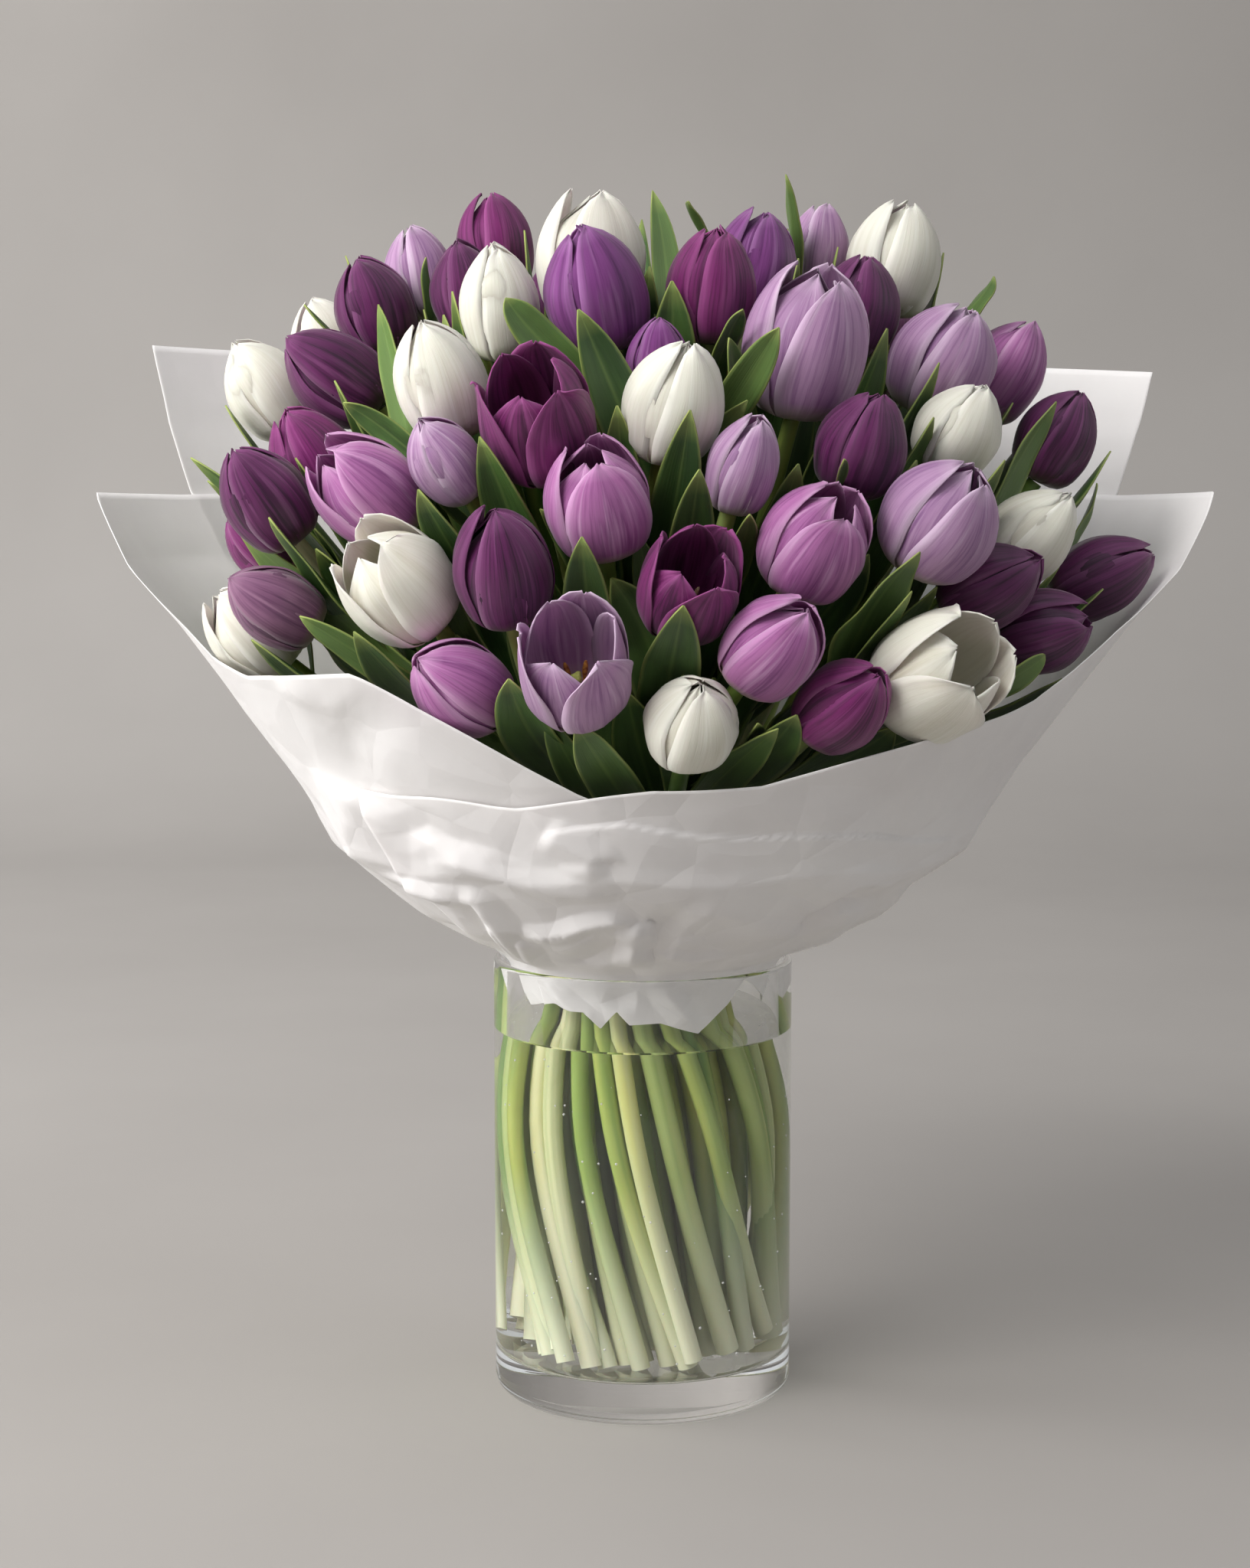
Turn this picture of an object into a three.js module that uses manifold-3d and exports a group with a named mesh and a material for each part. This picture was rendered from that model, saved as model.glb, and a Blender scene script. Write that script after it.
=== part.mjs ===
// A hand-tied bunch of tulips in white florist's paper, standing in a clear glass cylinder of water.
// Millimetres, +Z up. The origin is the middle of the vase's underside; -Y is the front.

import * as THREE from 'three';
import * as BufferGeometryUtils from 'three/addons/utils/BufferGeometryUtils.js';
import Module from 'manifold-3d';

const wasm = await Module();
wasm.setup();

// ---------- Driving dimensions ----------

const GAP = 0.3;
const WELD = 0.002;
const HOLE_ROOM = 0.5;

const VASE = { radius: 70, wall: 4, height: 207, floor: 20, corner: 8, innerCorner: 4, sides: 28 };
const WATER = { level: 172, sides: 28 };

// Where the photograph was taken from, and its focal length and middle in pixels.
const VIEW = {
	eye: new THREE.Vector3(-8.3, -1400, 457), pitch: THREE.MathUtils.degToRad(6.89),
	focal: 3945, middleU: 816, middleV: 1024,
};

// The dome that the middles of the blooms lie on.
const DOME = { y: 10, z: 330, halfWidth: 210, front: 175, back: 115, rise: 208 };

// The point that the blooms look away from.
const FOCUS = new THREE.Vector3(0, 0, 110);

const STEM = {
	radius: 5.1, sides: 4, waistZ: 236, waistStep: 9.8, waistTurn: 9.5,
	bendZ: 118, bendRadius: 57, footZ: VASE.floor + GAP, footRadius: 54.5,
	twist: THREE.MathUtils.degToRad(78), wander: 0.07, segments: 3, clear: 1.5,
};

// Where the bunch is held together its stems are packed tight: heights and radii of that dense core.
const CORE = { sides: 8, outline: [[229, 0], [229, 46], [262, 46], [262, 0]] };

const LEAF = { thickness: 0.9, fold: 0.22, narrow: 15, stations: 4, fewStations: 3, rootsApart: 9, apart: 10 };

const PAPER = {
	thickness: 0.8, columns: 30, layerGap: 1.35, inMouth: 0.15, backGap: 1.3,
	start: -70, end: -499, backStart: -202, backEnd: -339,
};

// ---------- The blooms, as they are seen in the photograph ----------

const WHITE = 'white';
const AUBERGINE = 'aubergine';
const WINE = 'wine';
const VIOLET = 'violet';
const ORCHID = 'orchid';
const LILAC = 'lilac';
const MAUVE = 'mauve';

// name, u and v: where its middle is seen; long and wide: its size; open: 0 shut to 1 wide open;
// lean: its tilt in the view, in degrees from upright; back: how far it lies behind the dome.
const seen = (name, kind, u, v, long, wide, open, lean, back = 0) =>
	({ name, kind, u, v, long, wide, open, lean: THREE.MathUtils.degToRad(lean), back });

const BLOOMS = [
	seen('left_white', WHITE, 348, 503, 50, 38, 0, -35, 6),
	seen('left_white_back', WHITE, 430, 452, 48, 38, 0, -22, 20),
	seen('upper_left', AUBERGINE, 431, 493, 53, 40, 0, -54),
	seen('left_upper', WINE, 402, 590, 50, 40, 0.1, -32, 14),
	seen('left_middle', AUBERGINE, 367, 630, 50, 38, 0, -33),
	seen('left_open', ORCHID, 478, 643, 53, 44, 0.35, -48),
	seen('left_small', LILAC, 580, 597, 42, 31, 0, -33),
	seen('left_tall', WHITE, 574, 493, 56, 41, 0, -18),
	seen('centre_open', WINE, 697, 538, 54, 48, 0.85, -12),
	seen('top_left', AUBERGINE, 488, 410, 46, 37, 0, -22),
	seen('top_left_pale', LILAC, 531, 360, 46, 34, 0, -14, 12),
	seen('top_left_back', WINE, 645, 315, 46, 36, 0.1, -9, 24),
	seen('top_left_dark', AUBERGINE, 608, 375, 44, 33, 0, -12, 6),
	seen('top_left_slim', WHITE, 672, 391, 52, 36, 0, -6),
	seen('top', WHITE, 772, 335, 60, 50, 0.2, 2, 14),
	seen('top_front', VIOLET, 773, 388, 57, 46, 0.05, -14),
	seen('top_hidden', VIOLET, 842, 458, 38, 28, 0, 2, 24),
	seen('top_right', WINE, 932, 370, 52, 40, 0.15, 4),
	seen('top_right_back', VIOLET, 985, 345, 50, 40, 0.1, 10, 24),
	seen('centre_large', LILAC, 1057, 452, 66, 54, 0.35, 10),
	seen('centre', WHITE, 883, 522, 54, 43, 0, 13),
	seen('centre_small', LILAC, 969, 602, 44, 31, 0, 17),
	seen('centre_low', ORCHID, 777, 654, 49, 45, 0.4, -8),
	seen('right_top_small', LILAC, 1078, 325, 42, 31, 0.1, 8, 26),
	seen('right_top', WHITE, 1155, 340, 54, 44, 0.1, 12, 8),
	seen('right_top_dark', AUBERGINE, 1140, 400, 46, 39, 0, 10),
	seen('right_upper', LILAC, 1215, 462, 54, 48, 0.2, 24),
	seen('right_upper_back', ORCHID, 1322, 487, 50, 38, 0, 30, 8),
	seen('right_round', WHITE, 1253, 558, 44, 38, 0, 28),
	seen('right_dark', AUBERGINE, 1372, 563, 46, 36, 0, 26),
	seen('right_inner', AUBERGINE, 1138, 583, 47, 41, 0, 16),
	seen('right_big', LILAC, 1220, 671, 53, 50, 0.15, 32),
	seen('right_slim', WHITE, 1348, 698, 50, 38, 0, 42),
	seen('rightmost', AUBERGINE, 1440, 752, 51, 37, 0, 62),
	seen('right_low', AUBERGINE, 1295, 765, 48, 37, 0, 58, 4),
	seen('right_low_open', AUBERGINE, 1358, 815, 44, 38, 0.3, 72),
	seen('right_front_open', WHITE, 1230, 872, 56, 53, 0.75, 52),
	seen('front_right', WINE, 1105, 915, 45, 37, 0, 45),
	seen('front_orchid', ORCHID, 1008, 837, 48, 40, 0.1, 38),
	seen('right_orchid', ORCHID, 1066, 705, 50, 46, 0.4, 28),
	seen('front_open_dark', WINE, 909, 762, 47, 42, 0.85, 15),
	seen('front_open_pale', LILAC, 742, 849, 52, 46, 0.95, -6),
	seen('front_left_dark', AUBERGINE, 658, 743, 54, 42, 0, -8),
	seen('left_front_open', WHITE, 524, 755, 52, 47, 0.5, -42),
	seen('front_round', WHITE, 905, 938, 42, 40, 0.1, 10),
	seen('front_left', ORCHID, 589, 896, 47, 39, 0, -54),
	seen('leftmost', WHITE, 290, 802, 46, 39, 0.1, -46),
	seen('left_low', MAUVE, 354, 788, 46, 34, 0, -57),
	seen('left_low_back', WINE, 328, 728, 40, 30, 0, -50, 14),
];

// Four clusters close the back of the dome: three touching blooms of one colour, two behind and one before.
const BACK_ROW = { y: 104, curve: 26, z: 470, arch: 34, span: 152, apart: 35, long: 50, wide: 38 };
const BACK_FRONT = { y: -25, z: 12 };
const BACK_KINDS = [LILAC, AUBERGINE, WHITE, ORCHID];

// ---------- The leaves, as they are seen: tip, lowest part that shows, width and side lean ----------

const leaf = (tipU, tipV, lowU, lowV, width, wave = 0) => ({ tipU, tipV, lowU, lowV, width, wave });

const LEAVES = [
	leaf(397, 398, 470, 470, 11), leaf(494, 398, 530, 551, 14), leaf(556, 336, 568, 420, 12),
	leaf(608, 343, 638, 455, 12), leaf(660, 389, 718, 461, 18), leaf(755, 404, 834, 592, 24),
	leaf(448, 526, 533, 583, 12), leaf(496, 575, 638, 678, 17), leaf(616, 578, 673, 672, 13),
	leaf(249, 598, 405, 723, 14), leaf(271, 628, 380, 735, 12), leaf(852, 249, 879, 423, 14),
	leaf(899, 263, 923, 321, 12), leaf(1026, 228, 1038, 356, 13), leaf(970, 404, 942, 455, 12),
	leaf(952, 441, 965, 519, 12), leaf(1017, 428, 955, 532, 17), leaf(976, 523, 866, 678, 20, 2),
	leaf(1102, 600, 1085, 655, 18), leaf(979, 672, 960, 740, 12), leaf(1298, 361, 1255, 420, 13),
	leaf(1379, 525, 1300, 650, 20), leaf(1432, 631, 1409, 691, 12), leaf(1201, 721, 1108, 834, 28, 2),
	leaf(1364, 855, 1290, 905, 14), leaf(311, 693, 501, 857, 20, 1), leaf(391, 805, 517, 883, 14),
	leaf(563, 715, 622, 870, 16), leaf(705, 665, 788, 762, 16), leaf(833, 699, 852, 794, 13),
	leaf(798, 755, 864, 873, 26, 2), leaf(910, 858, 832, 1038, 14, 3), leaf(712, 934, 774, 1044, 16),
	leaf(752, 947, 812, 1038, 22, 2), leaf(1016, 952, 932, 1022, 18, 2), leaf(989, 945, 975, 1000, 14),
];

// Leaves of the back row, placed by a rule between its blooms.
const BACK_LEAVES = { count: 5, y: 96, z: 462, arch: 30, span: 168, rise: 62, width: 15 };

// ---------- Small helpers ----------

const lerp = THREE.MathUtils.lerp;
const clamp = THREE.MathUtils.clamp;
const UP = new THREE.Vector3(0, 0, 1);

function lookUp(table, x) {
	// The value at x of a line through the table's points, which go up in x.
	const last = table.length - 1;
	if (x <= table[0][0]) return table[0][1];
	if (x >= table[last][0]) return table[last][1];
	const i = table.findIndex(([at]) => at >= x);
	const [x0, y0] = table[i - 1];
	const [x1, y1] = table[i];
	return lerp(y0, y1, (x - x0) / (x1 - x0));
}

function closedGeometry(points, faces) {
	const geometry = new THREE.BufferGeometry();
	geometry.setAttribute('position', new THREE.Float32BufferAttribute(points.flatMap((p) => p.toArray()), 3));
	geometry.setIndex(faces.flat());
	return geometry;
}

function loft(rings) {
	// A closed body through rings of points that turn anticlockwise about the way from first to last.
	const sides = rings[0].length;
	const faces = [];
	for (let r = 0; r < rings.length - 1; r++) {
		for (let s = 0; s < sides; s++) {
			const a = r * sides + s;
			const b = r * sides + (s + 1) % sides;
			faces.push([a, b, b + sides], [a, b + sides, a + sides]);
		}
	}
	const top = (rings.length - 1) * sides;
	for (let s = 1; s < sides - 1; s++) {
		faces.push([0, s + 1, s], [top, top + s, top + s + 1]);
	}
	return closedGeometry(rings.flat(), faces);
}

function toSolid(geometry) {
	const plain = geometry.clone();
	plain.deleteAttribute('normal');
	plain.deleteAttribute('uv');
	const merged = BufferGeometryUtils.mergeVertices(plain, 1e-4);
	const vertProperties = new Float32Array(merged.attributes.position.array);
	const triVerts = new Uint32Array(merged.index.array);
	return new wasm.Manifold(new wasm.Mesh({ numProp: 3, vertProperties, triVerts }));
}

function toGeometry(solid) {
	const { vertProperties, triVerts } = solid.getMesh();
	const geometry = new THREE.BufferGeometry();
	geometry.setAttribute('position', new THREE.BufferAttribute(new Float32Array(vertProperties), 3));
	geometry.setIndex(new THREE.BufferAttribute(new Uint32Array(triVerts), 1));
	return geometry;
}

function welded(solid) {
	// Corners go to the nearest point of a fine grid, and the slivers between those that meet go.
	const geometry = toGeometry(solid);
	const { array } = geometry.attributes.position;
	array.forEach((value, i) => { array[i] = Math.round(value / WELD) * WELD; });
	const merged = BufferGeometryUtils.mergeVertices(geometry, WELD / 4);
	const kept = [];
	for (let i = 0; i < merged.index.count; i += 3) {
		const [a, b, c] = merged.index.array.slice(i, i + 3);
		if (a !== b && b !== c && c !== a) kept.push(a, b, c);
	}
	merged.setIndex(kept);
	return toSolid(merged);
}

const join = (geometries) => geometries.map(toSolid).reduce((all, one) => all.add(one));

function oneBody(solid) {
	// The largest closed surface alone: hollows that the joining sealed are filled, scraps dropped.
	const pieces = welded(solid).decompose();
	return pieces.reduce((largest, one) => (one.volume() > largest.volume() ? one : largest));
}

// ---------- The paper's shape, which the blooms and leaves stay inside ----------

// Radius of the paper at each height, from inside the vase's mouth to its furthest corners.
const PAPER_PROFILE = [
	[180, 56], [205.5, 63.2], [209.6, 67.5], [218, 84], [232, 109], [246, 126],
	[262, 147], [300, 171], [335, 196], [365, 218], [390, 240], [423, 258], [455, 270], [495, 280],
];
const RIM_ROWS = 5;

// Height of the main sheet's upper edge, by degrees round from the right through the front.
const MAIN_EDGE = [
	[-500, 300], [-482, 298], [-470, 297], [-459.5, 300], [-449, 305], [-433, 307], [-415, 320],
	[-391, 337], [-372, 384], [-360, 424], [-340, 420], [-200, 420], [-180, 423], [-160, 352],
	[-151, 346], [-128, 352], [-99.5, 300], [-70, 268],
];
const BACK_EDGE = [[-340, 480], [-320, 484], [-270, 488], [-220, 490], [-202, 493]];

const PLEATS = { count: 11, height: 3.4, from: 214, to: 330 };
const RAGGED = { count: 7, depth: 9 };

function paperRadius(degrees, z) {
	// The sheets flare less to the front, and least at the back.
	const across = Math.sin(THREE.MathUtils.degToRad(degrees));
	const flatten = across < 0 ? 0.06 : 0.4;
	const reach = clamp((z - 209.6) / 60, 0, 1);
	const lopsided = 0.02 * Math.cos(THREE.MathUtils.degToRad(degrees));
	return lookUp(PAPER_PROFILE, z) * (1 + reach * (lopsided - flatten * across * across));
}

function paperEdge(degrees) {
	// Height of the main sheet's upper edge in a direction, where its layers overlap the higher of the two.
	const round = degrees > PAPER.start ? degrees - 360 : degrees;
	return Math.max(lookUp(MAIN_EDGE, round), lookUp(MAIN_EDGE, Math.max(round - 360, PAPER.end)));
}

// ---------- Placing the blooms ----------

function viewRay(u, v) {
	const ahead = new THREE.Vector3(0, Math.cos(VIEW.pitch), -Math.sin(VIEW.pitch));
	const above = new THREE.Vector3(0, Math.sin(VIEW.pitch), Math.cos(VIEW.pitch));
	return ahead.multiplyScalar(VIEW.focal)
		.add(new THREE.Vector3(u - VIEW.middleU, 0, 0))
		.addScaledVector(above, VIEW.middleV - v)
		.normalize();
}

function alongRay(direction, y) {
	return VIEW.eye.clone().addScaledVector(direction, (y - VIEW.eye.y) / direction.y);
}

function domeLevel(p) {
	const depth = p.y < DOME.y ? DOME.front : DOME.back;
	return Math.hypot(p.x / DOME.halfWidth, (p.y - DOME.y) / depth, (p.z - DOME.z) / DOME.rise);
}

function onDome(u, v, size = 1) {
	// Where the line of sight first meets the dome, or passes nearest to it.
	const direction = viewRay(u, v);
	let best = alongRay(direction, DOME.y);
	for (let y = -240; y <= 90; y += 1) {
		const p = alongRay(direction, y);
		if (domeLevel(p) <= size) return p;
		if (domeLevel(p) < domeLevel(best)) best = p;
	}
	return best;
}

function bloomAxis(middle, lean) {
	// It looks away from the focus, turned in the view to the lean that the photograph shows.
	const away = middle.clone().sub(FOCUS).normalize();
	const rest = Math.sqrt(1 - away.y * away.y);
	return new THREE.Vector3(rest * Math.sin(lean), away.y, rest * Math.cos(lean));
}

function placeBlooms() {
	const blooms = BLOOMS.map((bloom) => {
		const middle = onDome(bloom.u, bloom.v);
		middle.addScaledVector(viewRay(bloom.u, bloom.v), bloom.back);
		return { ...bloom, middle };
	});
	BACK_KINDS.forEach((kind, cluster) => {
		for (const side of [-1, 0, 1]) {
			const across = lerp(-1, 1, (cluster + 0.5) / BACK_KINDS.length);
			const before = side === 0 ? 1 : 0;
			const x = across * BACK_ROW.span + side * BACK_ROW.apart / 2;
			const y = BACK_ROW.y - BACK_ROW.curve * across * across + before * BACK_FRONT.y;
			const z = BACK_ROW.z + BACK_ROW.arch * (1 - across * across) + before * BACK_FRONT.z;
			const middle = new THREE.Vector3(x, y, z);
			const lean = Math.atan2(x, z - FOCUS.z);
			blooms.push({ ...BACK_ROW, name: `back_cluster_${cluster + 1}`, kind, open: 0, lean, middle });
		}
	});
	return blooms;
}

const bloomLine = (bloom) => {
	// The middle line of a bloom, as far as a ball of its own radius reaches.
	const half = Math.max(bloom.long - bloom.wide, 2) / 2;
	return [
		bloom.middle.clone().addScaledVector(bloom.axis, -half),
		bloom.middle.clone().addScaledVector(bloom.axis, half),
	];
};

function lineDistance([a, b], [c, d]) {
	// The shortest way between two short lines, by halving steps from one to the other.
	const ab = b.clone().sub(a);
	const cd = d.clone().sub(c);
	let s = 0.5;
	let t = 0.5;
	for (let round = 0; round < 6; round++) {
		const p = a.clone().addScaledVector(ab, s);
		t = clamp(p.sub(c).dot(cd) / cd.lengthSq(), 0, 1);
		const q = c.clone().addScaledVector(cd, t);
		s = clamp(q.sub(a).dot(ab) / ab.lengthSq(), 0, 1);
	}
	const from = a.clone().addScaledVector(ab, s);
	const to = c.clone().addScaledVector(cd, t);
	return to.sub(from);
}

const RELAX = { rounds: 220, share: 0.3, sideways: 0.35, apart: 2.2, insidePaper: 3.5, paperAt: 0.15, paperFrom: 0.48 };

function keepApart(blooms) {
	// Blooms that would touch move apart, mostly away from or towards the viewer.
	for (const bloom of blooms) bloom.axis = bloomAxis(bloom.middle, bloom.lean);
	for (let round = 0; round < RELAX.rounds; round++) {
		for (let i = 0; i < blooms.length; i++) {
			for (let j = i + 1; j < blooms.length; j++) {
				const one = blooms[i];
				const other = blooms[j];
				if (one.name === other.name) continue;
				const between = lineDistance(bloomLine(one), bloomLine(other));
				const want = (one.wide + other.wide) / 2 + RELAX.apart;
				const distance = between.length();
				if (distance >= want) continue;
				const push = between.clone().setLength(1);
				if (Math.abs(push.y) < 0.25) push.y += one.middle.y < other.middle.y ? 0.5 : -0.5;
				push.normalize().multiply(new THREE.Vector3(RELAX.sideways, 1, RELAX.sideways));
				push.multiplyScalar((want - distance) * RELAX.share);
				one.middle.sub(push);
				other.middle.add(push);
			}
		}
		for (const bloom of blooms) {
			const degrees = THREE.MathUtils.radToDeg(Math.atan2(bloom.middle.y, bloom.middle.x));
			const reach = Math.hypot(bloom.middle.x, bloom.middle.y);
			const most = paperRadius(degrees, bloom.middle.z - bloom.wide * RELAX.paperAt) - bloom.wide / 2 - RELAX.insidePaper;
			if (reach > most && bloom.middle.z - bloom.wide * RELAX.paperFrom < paperEdge(degrees)) {
				bloom.middle.x *= lerp(1, most / reach, 0.5);
				bloom.middle.y *= lerp(1, most / reach, 0.5);
			}
			bloom.axis = bloomAxis(bloom.middle, bloom.lean);
		}
	}
	return blooms;
}

// ---------- Petals ----------

// Three outer and three inner petals: turn in degrees about the bloom, and step in or out.
const PETAL_COLUMNS = [
	{ turn: -35, step: 0.02, tip: 0.88 }, { turn: 0, step: 0.05, tip: 1 },
	{ turn: 35, step: 0.02, tip: 0.88 }, { turn: 60, step: -0.06, tip: 0.96 },
];

// Height and radius up a bloom's side, as shares of its length and half its width.
const SHUT_SIDE = [[0.14, 0.74], [0.55, 0.98], [1.0, 0.36]];
const OPEN_SIDE = [[0.14, 0.7], [0.55, 0.99], [1.0, 0.84]];
const CUP_DEPTH = { shut: 0.12, open: 0.6 };

function bloomGeometry(bloom) {
	const { long, wide, open, axis, middle } = bloom;
	const across = new THREE.Vector3().crossVectors(axis, new THREE.Vector3(0, 1, 0)).normalize();
	const beside = new THREE.Vector3().crossVectors(axis, across);
	const base = middle.clone().addScaledVector(axis, -long / 2);
	const place = (height, radius, angle) => base.clone()
		.addScaledVector(axis, height)
		.addScaledVector(across, radius * Math.cos(angle))
		.addScaledVector(beside, radius * Math.sin(angle));
	const columns = [0, 120, 240].flatMap((start) =>
		PETAL_COLUMNS.map((column) => ({ ...column, turn: column.turn + start })));
	const rings = SHUT_SIDE.map(([height, shut], row) => columns.map((column) => {
		const side = lerp(shut, OPEN_SIDE[row][1], open);
		const last = row === SHUT_SIDE.length - 1;
		const share = side + column.step;
		const angle = THREE.MathUtils.degToRad(column.turn);
		return place(long * (last ? column.tip : height), wide / 2 * share, angle);
	}));
	const sides = columns.length;
	const faces = [];
	for (let r = 0; r < rings.length - 1; r++) {
		for (let s = 0; s < sides; s++) {
			const a = r * sides + s;
			const b = r * sides + (s + 1) % sides;
			faces.push([a, b, b + sides], [a, b + sides, a + sides]);
		}
	}
	const cup = place(long * (1 - lerp(CUP_DEPTH.shut, CUP_DEPTH.open, open)), 0, 0);
	const points = [...rings.flat(), base, cup];
	const top = (rings.length - 1) * sides;
	const bottomMiddle = points.length - 2;
	const cupMiddle = points.length - 1;
	for (let s = 0; s < sides; s++) {
		const next = (s + 1) % sides;
		faces.push([bottomMiddle, next, s], [cupMiddle, top + s, top + next]);
	}
	return closedGeometry(points, faces);
}

// ---------- Stems ----------

function pushFromBlooms(point, blooms, own, room) {
	// Moves a point of a stem or leaf out of any bloom that it would run into.
	for (const bloom of blooms) {
		if (bloom === own) continue;
		const away = lineDistance(bloomLine(bloom), [point, point.clone().addScaledVector(UP, 0.01)]);
		const short = bloom.wide / 2 * 1.04 + room - away.length();
		if (short > 0) point.addScaledVector(away.normalize(), short);
	}
}

function waistPlaces(count) {
	// At the waist the stems lie side by side along one spiral.
	return Array.from({ length: count }, (_, i) => {
		const turn = Math.sqrt(4 * Math.PI * STEM.waistStep * (i + 0.5) / STEM.waistTurn);
		return { turn, reach: STEM.waistTurn * turn / (2 * Math.PI) };
	});
}

function sharePlaces(places, bases) {
	// Each stem takes the place that lies on its bloom's side, by swaps until no swap serves better.
	const heading = bases.map((base) => new THREE.Vector2(base.x, base.y).divideScalar(base.z - STEM.waistZ + 90));
	const spot = places.map(({ turn, reach }) => new THREE.Vector2(reach * Math.cos(turn), reach * Math.sin(turn)));
	const taken = places.map((_, i) => i);
	const fit = (i, place) => heading[i].dot(spot[place]);
	for (let swapped = true; swapped;) {
		swapped = false;
		for (let i = 0; i < taken.length; i++) {
			for (let j = i + 1; j < taken.length; j++) {
				const now = fit(i, taken[i]) + fit(j, taken[j]);
				const then = fit(i, taken[j]) + fit(j, taken[i]);
				if (then <= now + 1e-6) continue;
				[taken[i], taken[j]] = [taken[j], taken[i]];
				swapped = true;
			}
		}
	}
	return taken;
}

function stemPaths(blooms) {
	// The stems pass the waist on the side of their blooms, and twist on down to the vase's floor.
	const bases = blooms.map((bloom) => bloom.middle.clone().addScaledVector(bloom.axis, -bloom.long / 2));
	const places = waistPlaces(blooms.length);
	const outermost = places[places.length - 1].reach;
	const taken = sharePlaces(places, bases);
	return blooms.map((bloom, i) => {
		const { turn, reach } = places[taken[i]];
		const wander = STEM.wander * Math.sin(i * 2.4);
		const lower = (radius, z, share) => {
			const at = turn + STEM.twist * share * (1 + wander);
			const out = reach * radius / outermost * (1 + 0.5 * wander);
			return new THREE.Vector3(out * Math.cos(at), out * Math.sin(at), z);
		};
		const waist = new THREE.Vector3(reach * Math.cos(turn), reach * Math.sin(turn), STEM.waistZ);
		const bend = lower(STEM.bendRadius, STEM.bendZ, 0.5);
		const foot = lower(STEM.footRadius, STEM.footZ, 1);
		return [foot, bend, ...upperStem(waist, bases[i], bloom, blooms)];
	});
}

function upperStem(waist, base, bloom, blooms) {
	const span = waist.distanceTo(base);
	const curve = new THREE.CubicBezierCurve3(
		waist,
		waist.clone().addScaledVector(UP, span * 0.1).addScaledVector(base.clone().sub(waist), 0.3),
		base.clone().addScaledVector(bloom.axis, -span * 0.22),
		base.clone().addScaledVector(bloom.axis, -GAP),
	);
	const upper = curve.getPoints(STEM.segments);
	for (let round = 0; round < 16; round++) {
		for (let i = 1; i < upper.length - 1; i++) {
			pushFromBlooms(upper[i], blooms, bloom, STEM.radius + STEM.clear);
			for (const share of [-0.7, -0.35, 0.35, 0.7]) {
				const between = upper[i].clone().lerp(upper[share < 0 ? i - 1 : i + 1], Math.abs(share));
				const moved = between.clone();
				pushFromBlooms(moved, blooms, bloom, STEM.radius + STEM.clear);
				upper[i].add(moved.sub(between).multiplyScalar(0.8));
			}
		}
	}
	return upper;
}

function stemGeometry(path, radius, axis) {
	// A round stem of a few sides, cut level at its foot and square to its bloom.
	const rings = path.map((point, i) => {
		let along = axis;
		if (i === 0) along = UP;
		else if (i < path.length - 1) along = path[i + 1].clone().sub(path[i - 1]).normalize();
		const across = new THREE.Vector3().crossVectors(new THREE.Vector3(0, 1, 0), along).normalize();
		const beside = new THREE.Vector3().crossVectors(along, across);
		return Array.from({ length: STEM.sides }, (_, side) => {
			const angle = side * 2 * Math.PI / STEM.sides;
			return point.clone()
				.addScaledVector(across, radius * Math.cos(angle))
				.addScaledVector(beside, radius * Math.sin(angle));
		});
	});
	return loft(rings);
}

// ---------- Leaves ----------

// Width along a leaf, from its root on the stem to its tip.
const LEAF_OUTLINE = [[0, 0.34], [0.36, 0.85], [0.7, 0.95], [1, 0.06]];

function nearestStemPoint(point, paths, leaves) {
	// A point on the middle of the stem that a leaf grows from, some way below where it shows.
	let best = null;
	for (const path of paths) {
		for (let i = 2; i < path.length - 1; i++) {
			for (const share of [0.1, 0.4, 0.7]) {
				const p = path[i].clone().lerp(path[i + 1], share);
				if (leaves.some(({ curve }) => curve.v0.distanceTo(p) < LEAF.rootsApart)) continue;
				const distance = p.distanceTo(point) + 2 * Math.max(0, p.z - point.z + 25);
				if (!best || distance < best.distance) best = { distance, p };
			}
		}
	}
	return best.p;
}

function leafSide(curve, share) {
	// The way across a blade, whose face looks out from the bunch all along it.
	const chord = curve.v2.clone().sub(curve.v0).normalize();
	const middle = curve.getPoint(0.6);
	const outward = new THREE.Vector3(middle.x, middle.y - DOME.y, (middle.z - DOME.z) * 0.5).normalize();
	const across = new THREE.Vector3().crossVectors(chord, outward);
	const along = curve.getTangent(share);
	return across.addScaledVector(along, -across.dot(along)).normalize();
}

function leafClearance(path, width, blooms) {
	let least = Infinity;
	for (let s = 0; s <= 8; s++) {
		const point = path.getPoint(s / 8);
		const half = lookUp(LEAF_OUTLINE, s / 8) * width / 2;
		const side = leafSide(path, s / 8);
		for (const edge of [-1, 0, 1]) {
			const p = point.clone().addScaledVector(side, edge * half);
			for (const bloom of blooms) {
				const away = lineDistance(bloomLine(bloom), [p, p.clone().addScaledVector(UP, 0.01)]);
				least = Math.min(least, away.length() - bloom.wide / 2 * 1.04);
			}
			const degrees = THREE.MathUtils.radToDeg(Math.atan2(p.y, p.x));
			const edgeReach = Math.hypot(p.x, p.y);
			if (p.z < 430) least = Math.min(least, paperRadius(degrees, p.z - 3) - 3 - edgeReach);
		}
	}
	return least;
}

function leafRoom(curve, leaves) {
	// How near a leaf's middle comes to that of another.
	let least = LEAF.apart;
	for (const share of [0.25, 0.45, 0.65, 0.85, 1]) {
		const point = curve.getPoint(share);
		for (const other of leaves) {
			for (const at of [0.25, 0.45, 0.65, 0.85, 1]) least = Math.min(least, other.curve.getPoint(at).distanceTo(point));
		}
	}
	return least;
}

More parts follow.
